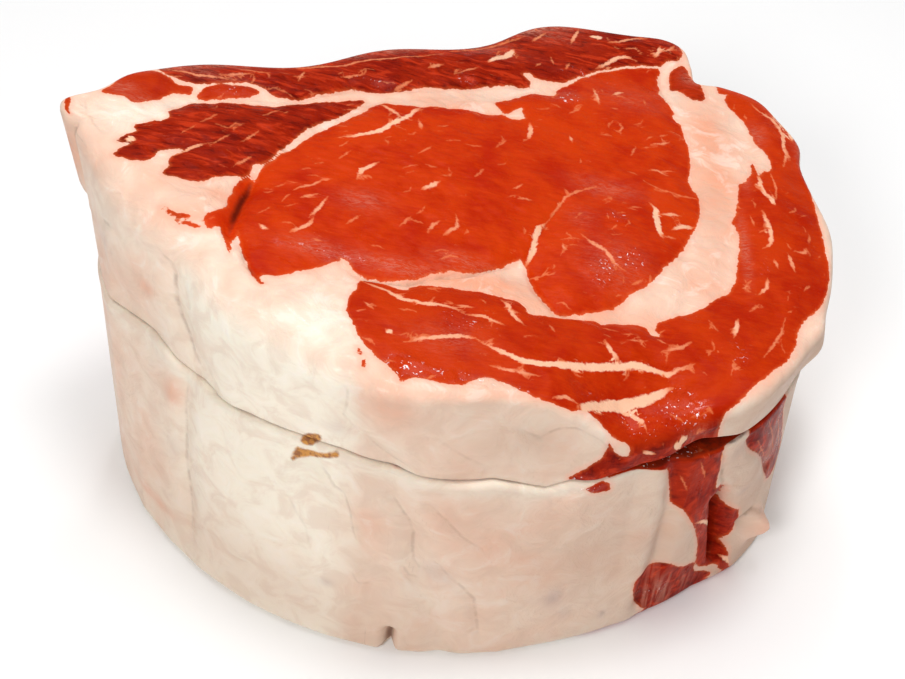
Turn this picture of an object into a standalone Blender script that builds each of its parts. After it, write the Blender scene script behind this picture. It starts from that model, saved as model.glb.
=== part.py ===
"""Boneless ribeye roast, sliced through once into two thick steaks that stay stacked as cut."""

import bmesh
import bpy
import numpy as np

MM = 0.001

# Heights of the two cut faces at the middle of the roast, and their fall to the right per mm, in mm
TOP_HEIGHT = 91.2
TOP_FALL = 0.158
CUT_HEIGHT = 63.6
CUT_FALL = 0.0175
KNIFE_GAP = 0.3

# Outline of the top face seen from above, anticlockwise from the left tip, in mm
OUTLINE = (
    (-102.0, -1.5), (-98.0, -10.0), (-92.5, -18.5), (-85.5, -28.0), (-72.0, -42.5), (-58.5, -56.0),
    (-45.0, -68.5), (-32.0, -78.0), (-20.0, -84.0), (-8.0, -87.5), (4.0, -87.5), (16.0, -85.5),
    (28.0, -84.0), (40.0, -82.5), (50.0, -80.5), (59.0, -77.5), (68.0, -71.5), (78.0, -61.5),
    (87.0, -50.0), (94.5, -34.5), (99.5, -19.5), (101.7, -5.5), (102.3, 8.5), (99.0, 23.5),
    (97.0, 34.5), (97.5, 45.5), (92.5, 56.0), (86.5, 65.0), (76.5, 68.3), (68.5, 68.0),
    (67.2, 75.5), (65.0, 84.0), (57.0, 87.9), (42.0, 86.0), (23.0, 80.0), (5.0, 68.5),
    (-8.0, 58.5), (-25.0, 48.5), (-47.0, 35.0), (-70.5, 25.0), (-86.0, 17.5), (-93.5, 7.0),
)
MIDDLE = np.array((5.0, -4.0))

# Each table below pairs a distance along the outline from the left tip with a size, all in mm.
# How far the wall stands inside the outline at the top face, at the cut and at the base
TOP_INSET = (
    (0, 0), (20, 1), (90, 1), (120, 0), (142, 3.5), (154, 5.5), (165, 4.5), (175, 1), (185, 0), (196, 2),
    (206, 3), (216, 1.5), (226, 0),
)
CUT_INSET = (
    (0, 6.5), (10, 4), (20, 0.5), (33, -3.2), (50, -2), (69, -3), (83, -1.5), (102, 2.5), (114, 4),
    (130, 3.2), (141, 1.5), (150, 0.5), (175, 1), (190, 5.5), (209, 4.5), (219, 2.5), (254, 2.5), (272, 6),
    (300, 9), (320, 8), (338, 6), (380, 4), (440, 6), (520, 5), (579, 5.5),
)
BASE_INSET = (
    (0, 8.5), (10, 5.5), (20, 2), (31, -1.5), (47, -6), (61, -7.5), (74, -7.5), (90, -5.5), (106, -2.5),
    (121, 0), (135, 1.5), (146, 0.5), (158, 0.5), (172, 3.2), (191, 7.5), (205, 9.5), (222, 8), (237, 4),
    (251, 2.4), (272, 5), (300, 8), (340, 6), (380, 5), (420, 7), (480, 8), (579, 9),
)
# Radius that rounds the top edge, widest on the soft fat at the left front
RIM_RADIUS = (
    (0, 2), (15, 5), (30, 9), (60, 11), (90, 10), (110, 8), (125, 5), (140, 3), (165, 3), (180, 5),
    (195, 6), (215, 4), (240, 3), (300, 2.5), (380, 1.8), (579, 1.8),
)
# Drop of the top edge where the front right corner curls down, and the lift of the upper steak's
# lower edge that leaves the dark gap under it
CORNER_DROP = (
    (166, 0), (172, 1.5), (179, 5.5), (186, 8.5), (196, 6.5), (206, 5.5), (214, 3), (224, 0.5), (232, 0),
)
GAP_LIFT = ((180, 0), (190, 2), (200, 4.5), (208, 5.5), (214, 4.5), (222, 2), (232, 0.5), (240, 0))
DROP_REACH = 18.0
LIFT_REACH = 26.0
CUT_EDGE_UPPER = 1.2
CUT_EDGE_LOWER = 2.2
BASE_EDGE = 2.5

# Valleys in the wall: depth, half width, and their run as (distance along the outline, height), in mm
WALL_CREASES = (
    (2.0, 5.0, ((60, 98), (63, 82), (67.5, 73), (72.8, 66))),
    (1.0, 5.0, ((28, 78), (41, 70), (50, 66))),
    (1.3, 4.0, ((117, 94), (117.5, 75), (122, 72.5), (128, 67))),
    (1.8, 4.5, ((66.4, 62), (66, 45), (68, 29), (68, 14))),
    (1.4, 3.5, ((105, 60), (111, 55), (114, 49), (118, 36), (127, 30), (134, 29.5))),
    (1.5, 4.0, ((129, 56), (134, 46), (135.5, 35), (138.6, 25), (143.4, 4))),
    (4.0, 2.4, ((129.5, 9), (129.5, 0))),
    (5.0, 2.6, ((221, 40), (224, 30), (226.5, 22), (229, 12))),
    (2.0, 3.0, ((201, 62), (203, 45), (202.5, 25), (200, 6))),
)
# Swellings of the wall: height, then place and reach along the outline and upwards, in mm
WALL_SWELLS = (
    (2.2, 92, 18, 80, 13), (1.6, 137, 13, 70, 6), (-2.6, 171, 9, 73, 8), (1.6, 45, 16, 82, 12),
    (1.8, 92, 20, 34, 20), (1.6, 158, 20, 38, 20), (1.2, 45, 14, 30, 22), (1.4, 209, 6, 31, 12),
    (1.4, 230, 8, 44, 12), (5.5, 241, 3.6, 17, 5), (2.5, 256, 6, 70, 5), (1.8, 300, 24, 68, 6),
)
# Flap of fat that hangs at the left tip: how far the wall steps in under it, its half width, lower
# end and the rounding of that step
FLAP_STEP_IN = 3.6
FLAP_HALF_WIDTH = 9.0
FLAP_END = 81.5
FLAP_ROUNDING = 3.0
# Shallow lobes of the trimmed back wall, which the view from the front doesn't reach
BACK_START = 392.0
BACK_END = 572.0
BACK_LOBE = 1.4
BACK_LOBE_LENGTH = 58.0

# Furrows where muscles meet on a cut face: depth, half width and their run seen from above, in mm
FACE_FURROWS = (
    (1.2, 6.0, ((-75, 8), (-47, 16), (-26, 26), (0, 38), (26, 49), (57, 66))),
    (0.9, 7.0, ((-50, -22), (-41, 1), (-26, 24))),
    (1.2, 7.0, ((-50, -40), (-51, -22))),
    (1.2, 6.0, ((-45, -53), (-27, -46), (-12, -47), (6, -41), (19, -33), (27, -49), (42, -43))),
    (0.8, 6.0, ((19, -33), (22, -20), (29, -8), (38, 3))),
    (0.9, 6.0, ((42, -43), (57, -20), (65, 8), (62, 40), (57, 60))),
    (0.8, 6.0, ((50, -43), (70, -28), (75, -2), (77, 20), (81, 36), (79, 54))),
)
# Swelling of single muscles on the top face: height, place and reach, in mm
FACE_SWELLS = (
    (1.8, -5, 36, 2, 30), (1.5, 44, 16, -18, 18), (1.2, 10, 30, -64, 10), (1.2, 86, 9, 6, 34),
    (0.9, -60, 14, -3, 10), (-1.6, 10, 50, 66, 9), (1.2, -62, 20, -36, 8),
)

# How finely the solids are cut: points round a ring, closer at the places named, and rings
RING_POINTS = 110
FINE_PLACES = (0, 68, 129, 226, 241, 383)
FINE_REACH = 10.0
SPINE_SMOOTHING = 14.0
LOWER_WALL_ROWS = 12
UPPER_WALL_ROWS = 8
EDGE_STEPS = 3
TOP_RINGS = (0.965, 0.92, 0.865, 0.80, 0.73, 0.655, 0.575, 0.49, 0.40, 0.31, 0.215, 0.11)
UNDER_RINGS = (0.93, 0.84, 0.72, 0.4)
PLAIN_RINGS = (0.85, 0.45)


def hump(offset, reach):
    return np.exp(-((offset / reach) ** 2))


def smooth_loop(points, steps=16):
    """Closed Catmull-Rom curve through the points."""
    before, here, after, beyond = (np.roll(points, shift, axis=0) for shift in (1, 0, -1, -2))
    t = (np.arange(steps) / steps)[None, :, None]
    a, b, c, d = (p[:, None, :] for p in (before, here, after, beyond))
    curve = b + 0.5 * t * (c - a + t * (2 * a - 5 * b + 4 * c - d + t * (3 * b - a - 3 * c + d)))
    return curve.reshape(-1, 2)


def spaced_stations(curve, count):
    """Points on a closed curve, closer at the fine places, and how far along it each one lies."""
    closed = np.vstack([curve, curve[:1]])
    along = np.concatenate([[0.0], np.cumsum(np.linalg.norm(np.diff(closed, axis=0), axis=1))])
    density = np.ones_like(along)
    for place in FINE_PLACES:
        apart = np.abs(along - place)
        density += 1.4 * hump(np.minimum(apart, along[-1] - apart), FINE_REACH)
    steps = np.diff(along) * (density[1:] + density[:-1]) / 2.0
    share = np.concatenate([[0.0], np.cumsum(steps)])
    wanted = np.interp(np.linspace(0.0, share[-1], count, endpoint=False), share, along)
    spots = np.stack([np.interp(wanted, along, closed[:, axis]) for axis in (0, 1)], axis=1)
    return spots, wanted, along[-1]


def outward_directions(spots, along, length):
    """Outward directions, averaged along the outline so that insets never cross at the tip or notch."""
    run = np.roll(spots, -1, axis=0) - np.roll(spots, 1, axis=0)
    normals = np.stack([run[:, 1], -run[:, 0]], axis=1)
    normals /= np.linalg.norm(normals, axis=1)[:, None]
    apart = np.abs(along[:, None] - along[None, :])
    apart = np.minimum(apart, length - apart)
    mean = np.exp(-((apart / SPINE_SMOOTHING) ** 2)) @ normals
    return mean / np.linalg.norm(mean, axis=1)[:, None]


SPOTS, ALONG, LENGTH = spaced_stations(smooth_loop(np.array(OUTLINE)), RING_POINTS)
OUTWARD = outward_directions(SPOTS, ALONG, LENGTH)


def around(table):
    """A table of (distance along the outline, size) read at every station."""
    places, sizes = np.array(table, float).T
    return np.interp(ALONG, places, sizes, period=LENGTH)


def smooth_step(value):
    value = np.clip(value, 0.0, 1.0)
    return value * value * (3.0 - 2.0 * value)


def distance_to_run(u, v, run):
    """Distance from points (u, v) to an open line of straight stretches."""
    nearest = np.full(np.shape(u), np.inf)
    for (u0, v0), (u1, v1) in zip(run[:-1], run[1:]):
        du, dv = u1 - u0, v1 - v0
        part = np.clip(((u - u0) * du + (v - v0) * dv) / (du * du + dv * dv), 0.0, 1.0)
        nearest = np.minimum(nearest, np.hypot(u - u0 - part * du, v - v0 - part * dv))
    return nearest


def cut_height(x):
    return CUT_HEIGHT - CUT_FALL * x


def top_height(x, y):
    """Height of the upper cut face, with its furrows and swellings."""
    height = TOP_HEIGHT - TOP_FALL * x
    for depth, half_width, run in FACE_FURROWS:
        height = height - depth * hump(distance_to_run(x, y, run), half_width)
    for rise, x0, reach_x, y0, reach_y in FACE_SWELLS:
        height = height + rise * hump(x - x0, reach_x) * hump(y - y0, reach_y)
    return height


def wall_relief(z):
    """How far the wall stands out at height z of every station, beyond its plain form."""
    proud = np.zeros(RING_POINTS)
    for depth, half_width, run in WALL_CREASES:
        proud -= depth * hump(distance_to_run(ALONG, z, run), half_width)
    for height, along0, reach_along, z0, reach_z in WALL_SWELLS:
        proud += height * hump(ALONG - along0, reach_along) * hump(z - z0, reach_z)
    from_tip = np.minimum(ALONG, LENGTH - ALONG)
    under_flap = 1.0 - smooth_step((z - FLAP_END) / FLAP_ROUNDING)
    proud -= FLAP_STEP_IN * hump(from_tip, FLAP_HALF_WIDTH) * under_flap
    back = smooth_step((ALONG - BACK_START) / 20.0) * smooth_step((BACK_END - ALONG) / 20.0)
    turn = 2.0 * np.pi * ALONG / BACK_LOBE_LENGTH
    return proud + BACK_LOBE * back * np.sin(turn + 0.05 * z)


def wall_inset(z):
    """Inset of the plain wall at height z of every station."""
    cut = cut_height(SPOTS[:, 0])
    top = TOP_HEIGHT - TOP_FALL * SPOTS[:, 0]
    below = np.clip(z / cut, 0.0, 1.0)
    above = np.clip((z - cut) / (top - cut), 0.0, 1.0)
    lower = around(BASE_INSET) * (1.0 - below) + around(CUT_INSET) * below
    upper = around(CUT_INSET) * (1.0 - above) + around(TOP_INSET) * above
    return np.where(z < cut, lower, upper)


def wall_ring(z, inset=0.0):
    """One ring of wall points at heights z, pulled in further by inset."""
    plan = SPOTS + OUTWARD * (wall_relief(z) - wall_inset(z) - inset)[:, None]
    return np.column_stack([plan, z])


def edge_angles():
    return np.linspace(0.0, np.pi / 2.0, EDGE_STEPS + 1)[1:]


def rounded_edge(z_face, radius, up):
    """Rings that round a wall over into a face at z_face, above it when up is 1 and below when -1."""
    rings = []
    for angle in edge_angles():
        ring = wall_ring(z_face - up * radius, radius * (1.0 - np.cos(angle)))
        ring[:, 2] = z_face - up * radius * (1.0 - np.sin(angle))
        rings.append(ring)
    return rings


def face_rings(rim, shares, height):
    """Rings that shrink from the rim towards the middle of a face, ending in one point."""
    rings = []
    for share in tuple(shares) + (0.0,):
        plan = MIDDLE + share * (rim[:, :2] - MIDDLE)
        inside = np.linalg.norm(rim[:, :2] - plan, axis=1)
        rings.append(np.column_stack([plan, height(plan[:, 0], plan[:, 1], inside)]))
    rings[-1][:, 2] = rings[-1][:, 2].mean()
    return rings


def solid_from_rings(name, rings, colour, roughness, collection):
    """Wraps a flat grid round the rings, from the lowest face's middle to the upper one's."""
    mesh = bpy.data.meshes.new(name)
    bm = bmesh.new()
    bmesh.ops.create_grid(bm, x_segments=RING_POINTS, y_segments=len(rings) - 1, size=1.0)
    bm.verts.ensure_lookup_table()
    places = np.array([np.vstack([ring, ring[:1]]) for ring in rings]).reshape(-1, 3) * MM
    for vert, place in zip(bm.verts, places):
        vert.co = place
    bmesh.ops.remove_doubles(bm, verts=bm.verts, dist=1e-6)
    bmesh.ops.recalc_face_normals(bm, faces=bm.faces)
    bm.to_mesh(mesh)
    bm.free()
    mesh.shade_smooth()
    mesh.materials.append(surface(name + "_surface", colour, roughness))
    solid = bpy.data.objects.new(name, mesh)
    collection.objects.link(solid)
    return solid


def surface(name, colour, roughness):
    material = bpy.data.materials.new(name)
    material.use_nodes = True
    shader = material.node_tree.nodes["Principled BSDF"]
    shader.inputs["Base Color"].default_value = (*colour, 1.0)
    shader.inputs["Roughness"].default_value = roughness
    shader.inputs["Metallic"].default_value = 0.0
    return material


def build_lower_steak(collection):
    """The thick lower steak: flat base, fat and meat wall, and the face left by the knife."""
    base_z = np.zeros(RING_POINTS)
    cut_z = cut_height(SPOTS[:, 0]) - KNIFE_GAP / 2.0
    low = rounded_edge(base_z, BASE_EDGE, -1)
    high = rounded_edge(cut_z, CUT_EDGE_LOWER, 1)
    walls = [
        wall_ring(base_z + BASE_EDGE + share * (cut_z - CUT_EDGE_LOWER - BASE_EDGE))
        for share in np.linspace(0.0, 1.0, LOWER_WALL_ROWS)
    ]
    base = face_rings(low[-1], PLAIN_RINGS, lambda x, y, inside: np.zeros_like(x))
    cut = face_rings(high[-1], PLAIN_RINGS, lambda x, y, inside: cut_height(x) - KNIFE_GAP / 2.0)
    rings = base[::-1] + low[::-1] + walls + high + cut
    return solid_from_rings("lower_steak", rings, (0.80, 0.66, 0.54), 0.35, collection)


def build_upper_steak(collection):
    """The upper steak: a wedge, thick at the left, with the muscled face on top."""
    lift = around(GAP_LIFT)
    drop = around(CORNER_DROP)
    radius = around(RIM_RADIUS)
    under_z = cut_height(SPOTS[:, 0]) + KNIFE_GAP / 2.0 + lift

    def underside(x, y, inside):
        fade = smooth_step(1.0 - inside / LIFT_REACH)
        return cut_height(x) + KNIFE_GAP / 2.0 + lift * fade

    def top_face(x, y, inside):
        return top_height(x, y) - drop * smooth_step(1.0 - inside / DROP_REACH)

    rim_plan = wall_ring(TOP_HEIGHT - TOP_FALL * SPOTS[:, 0] - drop, radius)
    rim_z = top_height(rim_plan[:, 0], rim_plan[:, 1]) - drop
    low = rounded_edge(under_z, CUT_EDGE_UPPER, -1)
    high = rounded_edge(rim_z, radius, 1)
    foot_z = under_z + CUT_EDGE_UPPER
    walls = [
        wall_ring(foot_z + share * (rim_z - radius - foot_z))
        for share in np.linspace(0.0, 1.0, UPPER_WALL_ROWS)
    ]
    under = face_rings(low[-1], UNDER_RINGS, underside)
    top = face_rings(high[-1], TOP_RINGS, top_face)
    rings = under[::-1] + low[::-1] + walls + high + top
    return solid_from_rings("upper_steak", rings, (0.55, 0.06, 0.02), 0.3, collection)


def main():
    for old in list(bpy.data.objects):
        bpy.data.objects.remove(old, do_unlink=True)
    collection = bpy.data.collections.new("ribeye_roast")
    bpy.context.scene.collection.children.link(collection)
    build_lower_steak(collection)
    build_upper_steak(collection)


main()
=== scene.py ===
import bmesh
import bpy
import numpy as np
from mathutils import Matrix, Vector


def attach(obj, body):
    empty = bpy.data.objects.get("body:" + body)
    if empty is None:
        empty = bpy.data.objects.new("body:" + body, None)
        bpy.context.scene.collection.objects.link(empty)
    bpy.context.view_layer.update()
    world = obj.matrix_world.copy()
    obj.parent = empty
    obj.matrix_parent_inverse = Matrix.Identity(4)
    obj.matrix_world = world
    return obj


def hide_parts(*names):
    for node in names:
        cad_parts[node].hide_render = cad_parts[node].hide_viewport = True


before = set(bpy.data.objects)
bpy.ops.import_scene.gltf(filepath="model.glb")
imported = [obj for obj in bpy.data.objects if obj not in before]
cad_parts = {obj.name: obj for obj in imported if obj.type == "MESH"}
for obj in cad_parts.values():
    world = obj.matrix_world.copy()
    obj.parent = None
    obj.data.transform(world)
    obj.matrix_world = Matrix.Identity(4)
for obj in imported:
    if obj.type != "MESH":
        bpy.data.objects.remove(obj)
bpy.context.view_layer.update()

MM = 0.001

# View of the photograph: place, aim and roll of the camera, in mm and degrees
CAMERA_PLACE = (2.02, -377.34, 372.57)
CAMERA_AIM = (2.02, 36.43, 0.0)
CAMERA_ROLL = 4.0
CAMERA_LENS = 71.6
SENSOR_WIDTH = 36.0

# Soft lamps: name, place and size in m, and power in watts, all aimed at the same spot
LAMPS = (
    ("key_lamp", (-0.26, -0.72, 0.62), 0.25, 3.4), ("overhead_lamp", (0.1, 0.2, 1.3), 1.2, 7.6),
    ("small_lamp", (0.05, -0.02, 0.95), 0.2, 1.7), ("small_back_lamp", (-0.05, 0.46, 0.84), 0.12, 0.6),
    ("fill_lamp", (0.8, -0.3, 0.5), 0.6, 0.3),
)
LAMP_AIM = (0.0, 0.0, 0.05)
STUDIO_STRENGTH = 0.27

# Heights of the two cut faces at the middle of the roast, and their fall to the right per mm, in mm
TOP_HEIGHT = 91.2
TOP_FALL = 0.158
CUT_HEIGHT = 63.6
CUT_FALL = 0.0175
KNIFE_GAP = 0.3

# Outline of the top face seen from above, anticlockwise from the left tip, in mm
OUTLINE = (
    (-102.0, -1.5), (-98.0, -10.0), (-92.5, -18.5), (-85.5, -28.0), (-72.0, -42.5), (-58.5, -56.0),
    (-45.0, -68.5), (-32.0, -78.0), (-20.0, -84.0), (-8.0, -87.5), (4.0, -87.5), (16.0, -85.5),
    (28.0, -84.0), (40.0, -82.5), (50.0, -80.5), (59.0, -77.5), (68.0, -71.5), (78.0, -61.5), (87.0, -50.0),
    (94.5, -34.5), (99.5, -19.5), (101.7, -5.5), (102.3, 8.5), (99.0, 23.5), (97.0, 34.5), (97.5, 45.5),
    (92.5, 56.0), (86.5, 65.0), (76.5, 68.3), (68.5, 68.0), (67.2, 75.5), (65.0, 84.0), (57.0, 87.9),
    (42.0, 86.0), (23.0, 80.0), (5.0, 68.5), (-8.0, 58.5), (-25.0, 48.5), (-47.0, 35.0), (-70.5, 25.0),
    (-86.0, 17.5), (-93.5, 7.0),
)
MIDDLE = np.array((5.0, -4.0))

# Each table below pairs a distance along the outline from the left tip with a size, all in mm.
# How far the wall stands inside the outline at the top face, at the cut and at the base
TOP_INSET = (
    (0, 0), (20, 1), (90, 1), (120, 0), (142, 3.5), (154, 5.5), (165, 4.5), (175, 1), (185, 0), (196, 2),
    (206, 3), (216, 1.5), (226, 0),
)
CUT_INSET = (
    (0, 6.5), (10, 4), (20, 0.5), (33, -3.2), (50, -2), (69, -3), (83, -1.5), (102, 2.5), (114, 4),
    (130, 3.2), (141, 1.5), (150, 0.5), (175, 1), (190, 5.5), (209, 4.5), (219, 2.5), (254, 2.5), (272, 6),
    (300, 9), (320, 8), (338, 6), (380, 4), (440, 6), (520, 5), (579, 5.5),
)
BASE_INSET = (
    (0, 8.5), (10, 5.5), (20, 2), (31, -1.5), (47, -6), (61, -7.5), (74, -7.5), (90, -5.5), (106, -2.5),
    (121, 0), (135, 1.5), (146, 0.5), (158, 0.5), (172, 3.2), (191, 7.5), (205, 9.5), (222, 8), (237, 4),
    (251, 2.4), (272, 5), (300, 8), (340, 6), (380, 5), (420, 7), (480, 8), (579, 9),
)
# Radius that rounds the top edge, widest on the soft fat at the left front
RIM_RADIUS = (
    (0, 2), (15, 5), (30, 9), (60, 11), (90, 10), (110, 8), (125, 5), (140, 3), (165, 3), (180, 5),
    (195, 6), (215, 4), (240, 3), (300, 2.5), (380, 1.8), (579, 1.8),
)
# Drop of the top edge where the front right corner curls down, and the lift of the upper steak's
# lower edge that leaves the dark gap under it
CORNER_DROP = (
    (166, 0), (172, 1.5), (179, 5.5), (186, 8.5), (196, 6.5), (206, 5.5), (214, 3), (224, 0.5), (232, 0),
)
GAP_LIFT = ((180, 0), (190, 2), (200, 4.5), (208, 5.5), (214, 4.5), (222, 2), (232, 0.5), (240, 0))
# Run of the open gap between the steaks at the right, which also gets painted shade
GAP_START = 184.0
GAP_END = 230.0
# Waver of the knife's line on the wall, above or below its plane
CUT_WAVER = (
    (0, 0), (42, 1.4), (57, 1.9), (66, -0.8), (76, -1.2), (88, 0.9), (110, 1.6), (134, 1.7), (153, 1.8),
    (166, -1.3), (172, 0.6), (180, 0.8), (195, 0), (240, 0.8), (300, -0.6), (370, 0.9), (450, -0.7),
    (520, 0.6),
)
# How far the lower steak stands out beyond the upper one at the cut, which shows as a pale lip
CUT_STEP = (
    (0, 0.6), (25, 0.5), (45, 0.8), (75, 1.0), (105, 0.9), (130, 1.4), (152, 1.3), (166, 0.8), (176, 0.3),
    (186, 0), (214, 0), (240, 0.4), (330, 0.4), (560, 0.6),
)
STEP_REACH_UP = 7.0
STEP_REACH_DOWN = 3.2
WAVER_REACH = 9.0
DROP_REACH = 18.0
LIFT_REACH = 26.0
CUT_EDGE_UPPER = 0.6
CUT_EDGE_LOWER = 1.4
BASE_EDGE = 2.5

# Valleys in the wall: depth, half width, and their run as (distance along the outline, height), in mm
WALL_CREASES = (
    (2.0, 5.0, ((60, 98), (63, 82), (67.5, 73), (72.8, 66))), (1.0, 5.0, ((28, 78), (41, 70), (50, 66))),
    (1.3, 4.0, ((117, 94), (117.5, 75), (122, 72.5), (128, 67))),
    (1.8, 4.5, ((66.4, 62), (66, 45), (68, 29), (68, 14))),
    (1.4, 3.5, ((105, 60), (111, 55), (114, 49), (118, 36), (127, 30), (134, 29.5))),
    (1.5, 4.0, ((129, 56), (134, 46), (135.5, 35), (138.6, 25), (143.4, 4))),
    (2.4, 1.5, ((129.5, 8), (129.5, 0))), (5.0, 2.6, ((221, 40), (224, 30), (226.5, 22), (229, 12))),
    (2.0, 3.0, ((201, 62), (203, 45), (202.5, 25), (200, 6))),
)
# Narrow folds on the same wall, whose bottoms also get painted shade
WALL_FOLDS = (
    (0.9, 0.9, ((54, 99), (58, 94), (59, 88), (60, 83), (62, 79), (65, 75), (67, 70), (70, 66))),
    (0.7, 0.8, ((65, 61), (64.5, 52), (65, 45), (65.5, 35), (67, 27), (68, 18), (68, 12), (70, 9))),
    (0.5, 0.8, ((116.5, 93), (116.3, 85), (115, 79), (118, 75))),
    (0.6, 0.8, ((120, 74), (124, 71), (128, 68.5), (133, 67.5))),
    (0.35, 0.7, ((136, 79.5), (141, 77), (147, 72.5), (152, 69))),
    (0.6, 0.8, ((107, 58), (110, 55), (112, 52), (115, 51), (117, 46), (118, 40), (119.5, 36))),
    (0.7, 0.8, ((128, 56), (130, 53), (133, 49), (134.5, 45), (134.5, 40), (135, 35), (137, 31))),
    (0.6, 0.9, ((141, 37), (145, 32), (148, 28.5), (151, 24), (152, 17), (153, 9))),
    (0.5, 0.7, ((119, 27), (121, 24), (124, 25))), (0.5, 0.7, ((132, 33), (134, 29), (137, 28))),
    (0.6, 0.8, ((159, 79), (164, 76), (168, 79), (172, 80), (178, 77), (180.5, 73), (184, 69.5))),
    (0.5, 0.7, ((138, 57), (143, 52), (147, 47), (152, 43))), (0.7, 0.8, ((28.5, 88), (33, 89.5))),
    (0.4, 0.7, ((101, 45), (106, 38), (108, 30))), (0.3, 0.8, ((80, 58), (83, 50), (88, 44))),
    (1.6, 0.9, ((8.2, 105), (9.4, 97), (10.4, 90), (12, 83.5))), (0.4, 1.0, ((186, 9.5), (188, 7))),
    (0.5, 0.8, ((203, 36), (202.5, 30), (203, 22), (205, 20))),
    (1.2, 0.8, ((234, 22), (239, 23), (243, 20))),
    (0.9, 1.0, ((226, 59), (228, 54), (233, 49.5), (238, 43), (243, 36))),
    (0.8, 0.8, ((216.6, 60), (218, 54), (219, 49), (221, 45), (224, 38), (227, 32))),
    (1.8, 0.8, ((129.8, 8), (129.3, 4), (129.5, 0))),
    (2.6, 1.2, ((223.5, 36), (225.5, 28), (227.5, 20), (229.5, 12))),
)
# Swellings of the wall: height, then place and reach along the outline and upwards, in mm
WALL_SWELLS = (
    (2.2, 92, 18, 80, 13), (1.6, 137, 13, 70, 6), (-2.6, 171, 9, 73, 8), (1.6, 45, 16, 82, 12),
    (1.8, 92, 20, 34, 20), (1.6, 158, 20, 38, 20), (1.2, 45, 14, 30, 22), (1.4, 209, 6, 31, 12),
    (1.4, 230, 8, 44, 12), (5.5, 241, 3.6, 17, 5), (2.5, 256, 6, 70, 5), (1.8, 300, 24, 68, 6),
    (0.8, 61, 3, 54, 4), (0.7, 134, 2.4, 30, 2), (0.6, 121, 2.5, 25.5, 1.6), (0.6, 139, 2, 27.5, 1.6),
    (0.8, 222, 9, 72, 8), (-1.2, 205, 6, 69, 4), (0.7, 178, 3, 63, 3),
)
FOLD_SOFTNESS = 1.7
FLAP_STEP_IN = 4.4
FLAP_HALF_WIDTH = 9.0
FLAP_END = 82.0
FLAP_ROUNDING = 0.9
BACK_START = 392.0
BACK_END = 572.0
BACK_LOBE = 1.4
BACK_LOBE_LENGTH = 58.0

# Furrows where muscles meet on a cut face: depth, half width and their run seen from above, in mm
FACE_FURROWS = (
    (1.2, 6.0, ((-75, 8), (-47, 16), (-26, 26), (0, 38), (26, 49), (57, 66))),
    (0.9, 7.0, ((-50, -22), (-41, 1), (-26, 24))), (1.2, 7.0, ((-50, -40), (-51, -22))),
    (1.2, 6.0, ((-45, -53), (-27, -46), (-12, -47), (6, -41), (19, -33), (27, -49), (42, -43))),
    (0.8, 6.0, ((19, -33), (22, -20), (29, -8), (38, 3))),
    (0.9, 6.0, ((42, -43), (57, -20), (65, 8), (62, 40), (57, 60))),
    (0.8, 6.0, ((50, -43), (70, -28), (75, -2), (77, 20), (81, 36), (79, 54))),
)
# Narrow ones at the open slit, under the overhanging edge of the eye, and in the rim fat; their bottoms also
# get painted shade
FACE_SLITS = (
    (1.5, 1.6, ((-51, -17), (-52.3, -25), (-53, -33), (-53.6, -41))),
    (0.8, 0.8, ((-44, -55), (-48, -51), (-51, -43))),
    (0.9, 0.8, ((-26, -43.5), (-23, -46), (-19, -47.6), (-11, -46.8), (-4, -42.6), (4, -39.4), (17, -31))),
    (0.6, 0.8, ((19.6, -33), (21, -39.5), (26.5, -47.5), (33, -46))),
    (0.6, 0.7, ((19.5, -29), (21.5, -21), (24, -14), (28.5, -4))),
    (0.5, 0.8, ((-96, 1), (-94, -6), (-88, -14))),
    (0.5, 0.8, ((-70, 10), (-55, 15.5), (-45, 17.5), (-30, 28.5), (-15, 33), (0, 40), (20, 48.5))),
    (0.6, 0.8, ((58.5, 54), (57, 62), (57, 69), (60, 74.5))),
)
# Swelling of single muscles on the top face: height, place and reach, in mm
FACE_SWELLS = (
    (1.8, -5, 36, 2, 30), (1.5, 44, 16, -18, 18), (1.2, 10, 30, -64, 10), (1.2, 86, 9, 6, 34),
    (0.9, -60, 14, -3, 10), (-1.6, 10, 50, 66, 9), (1.2, -62, 20, -36, 8),
)
# Strength of the painted shade at the bottom of a fold or slit, which grows with its depth
CREASE_SHADE_STRENGTH = 0.45
LEAN_BULGE = 0.7
LEAN_SHOULDER = 2.2

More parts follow.
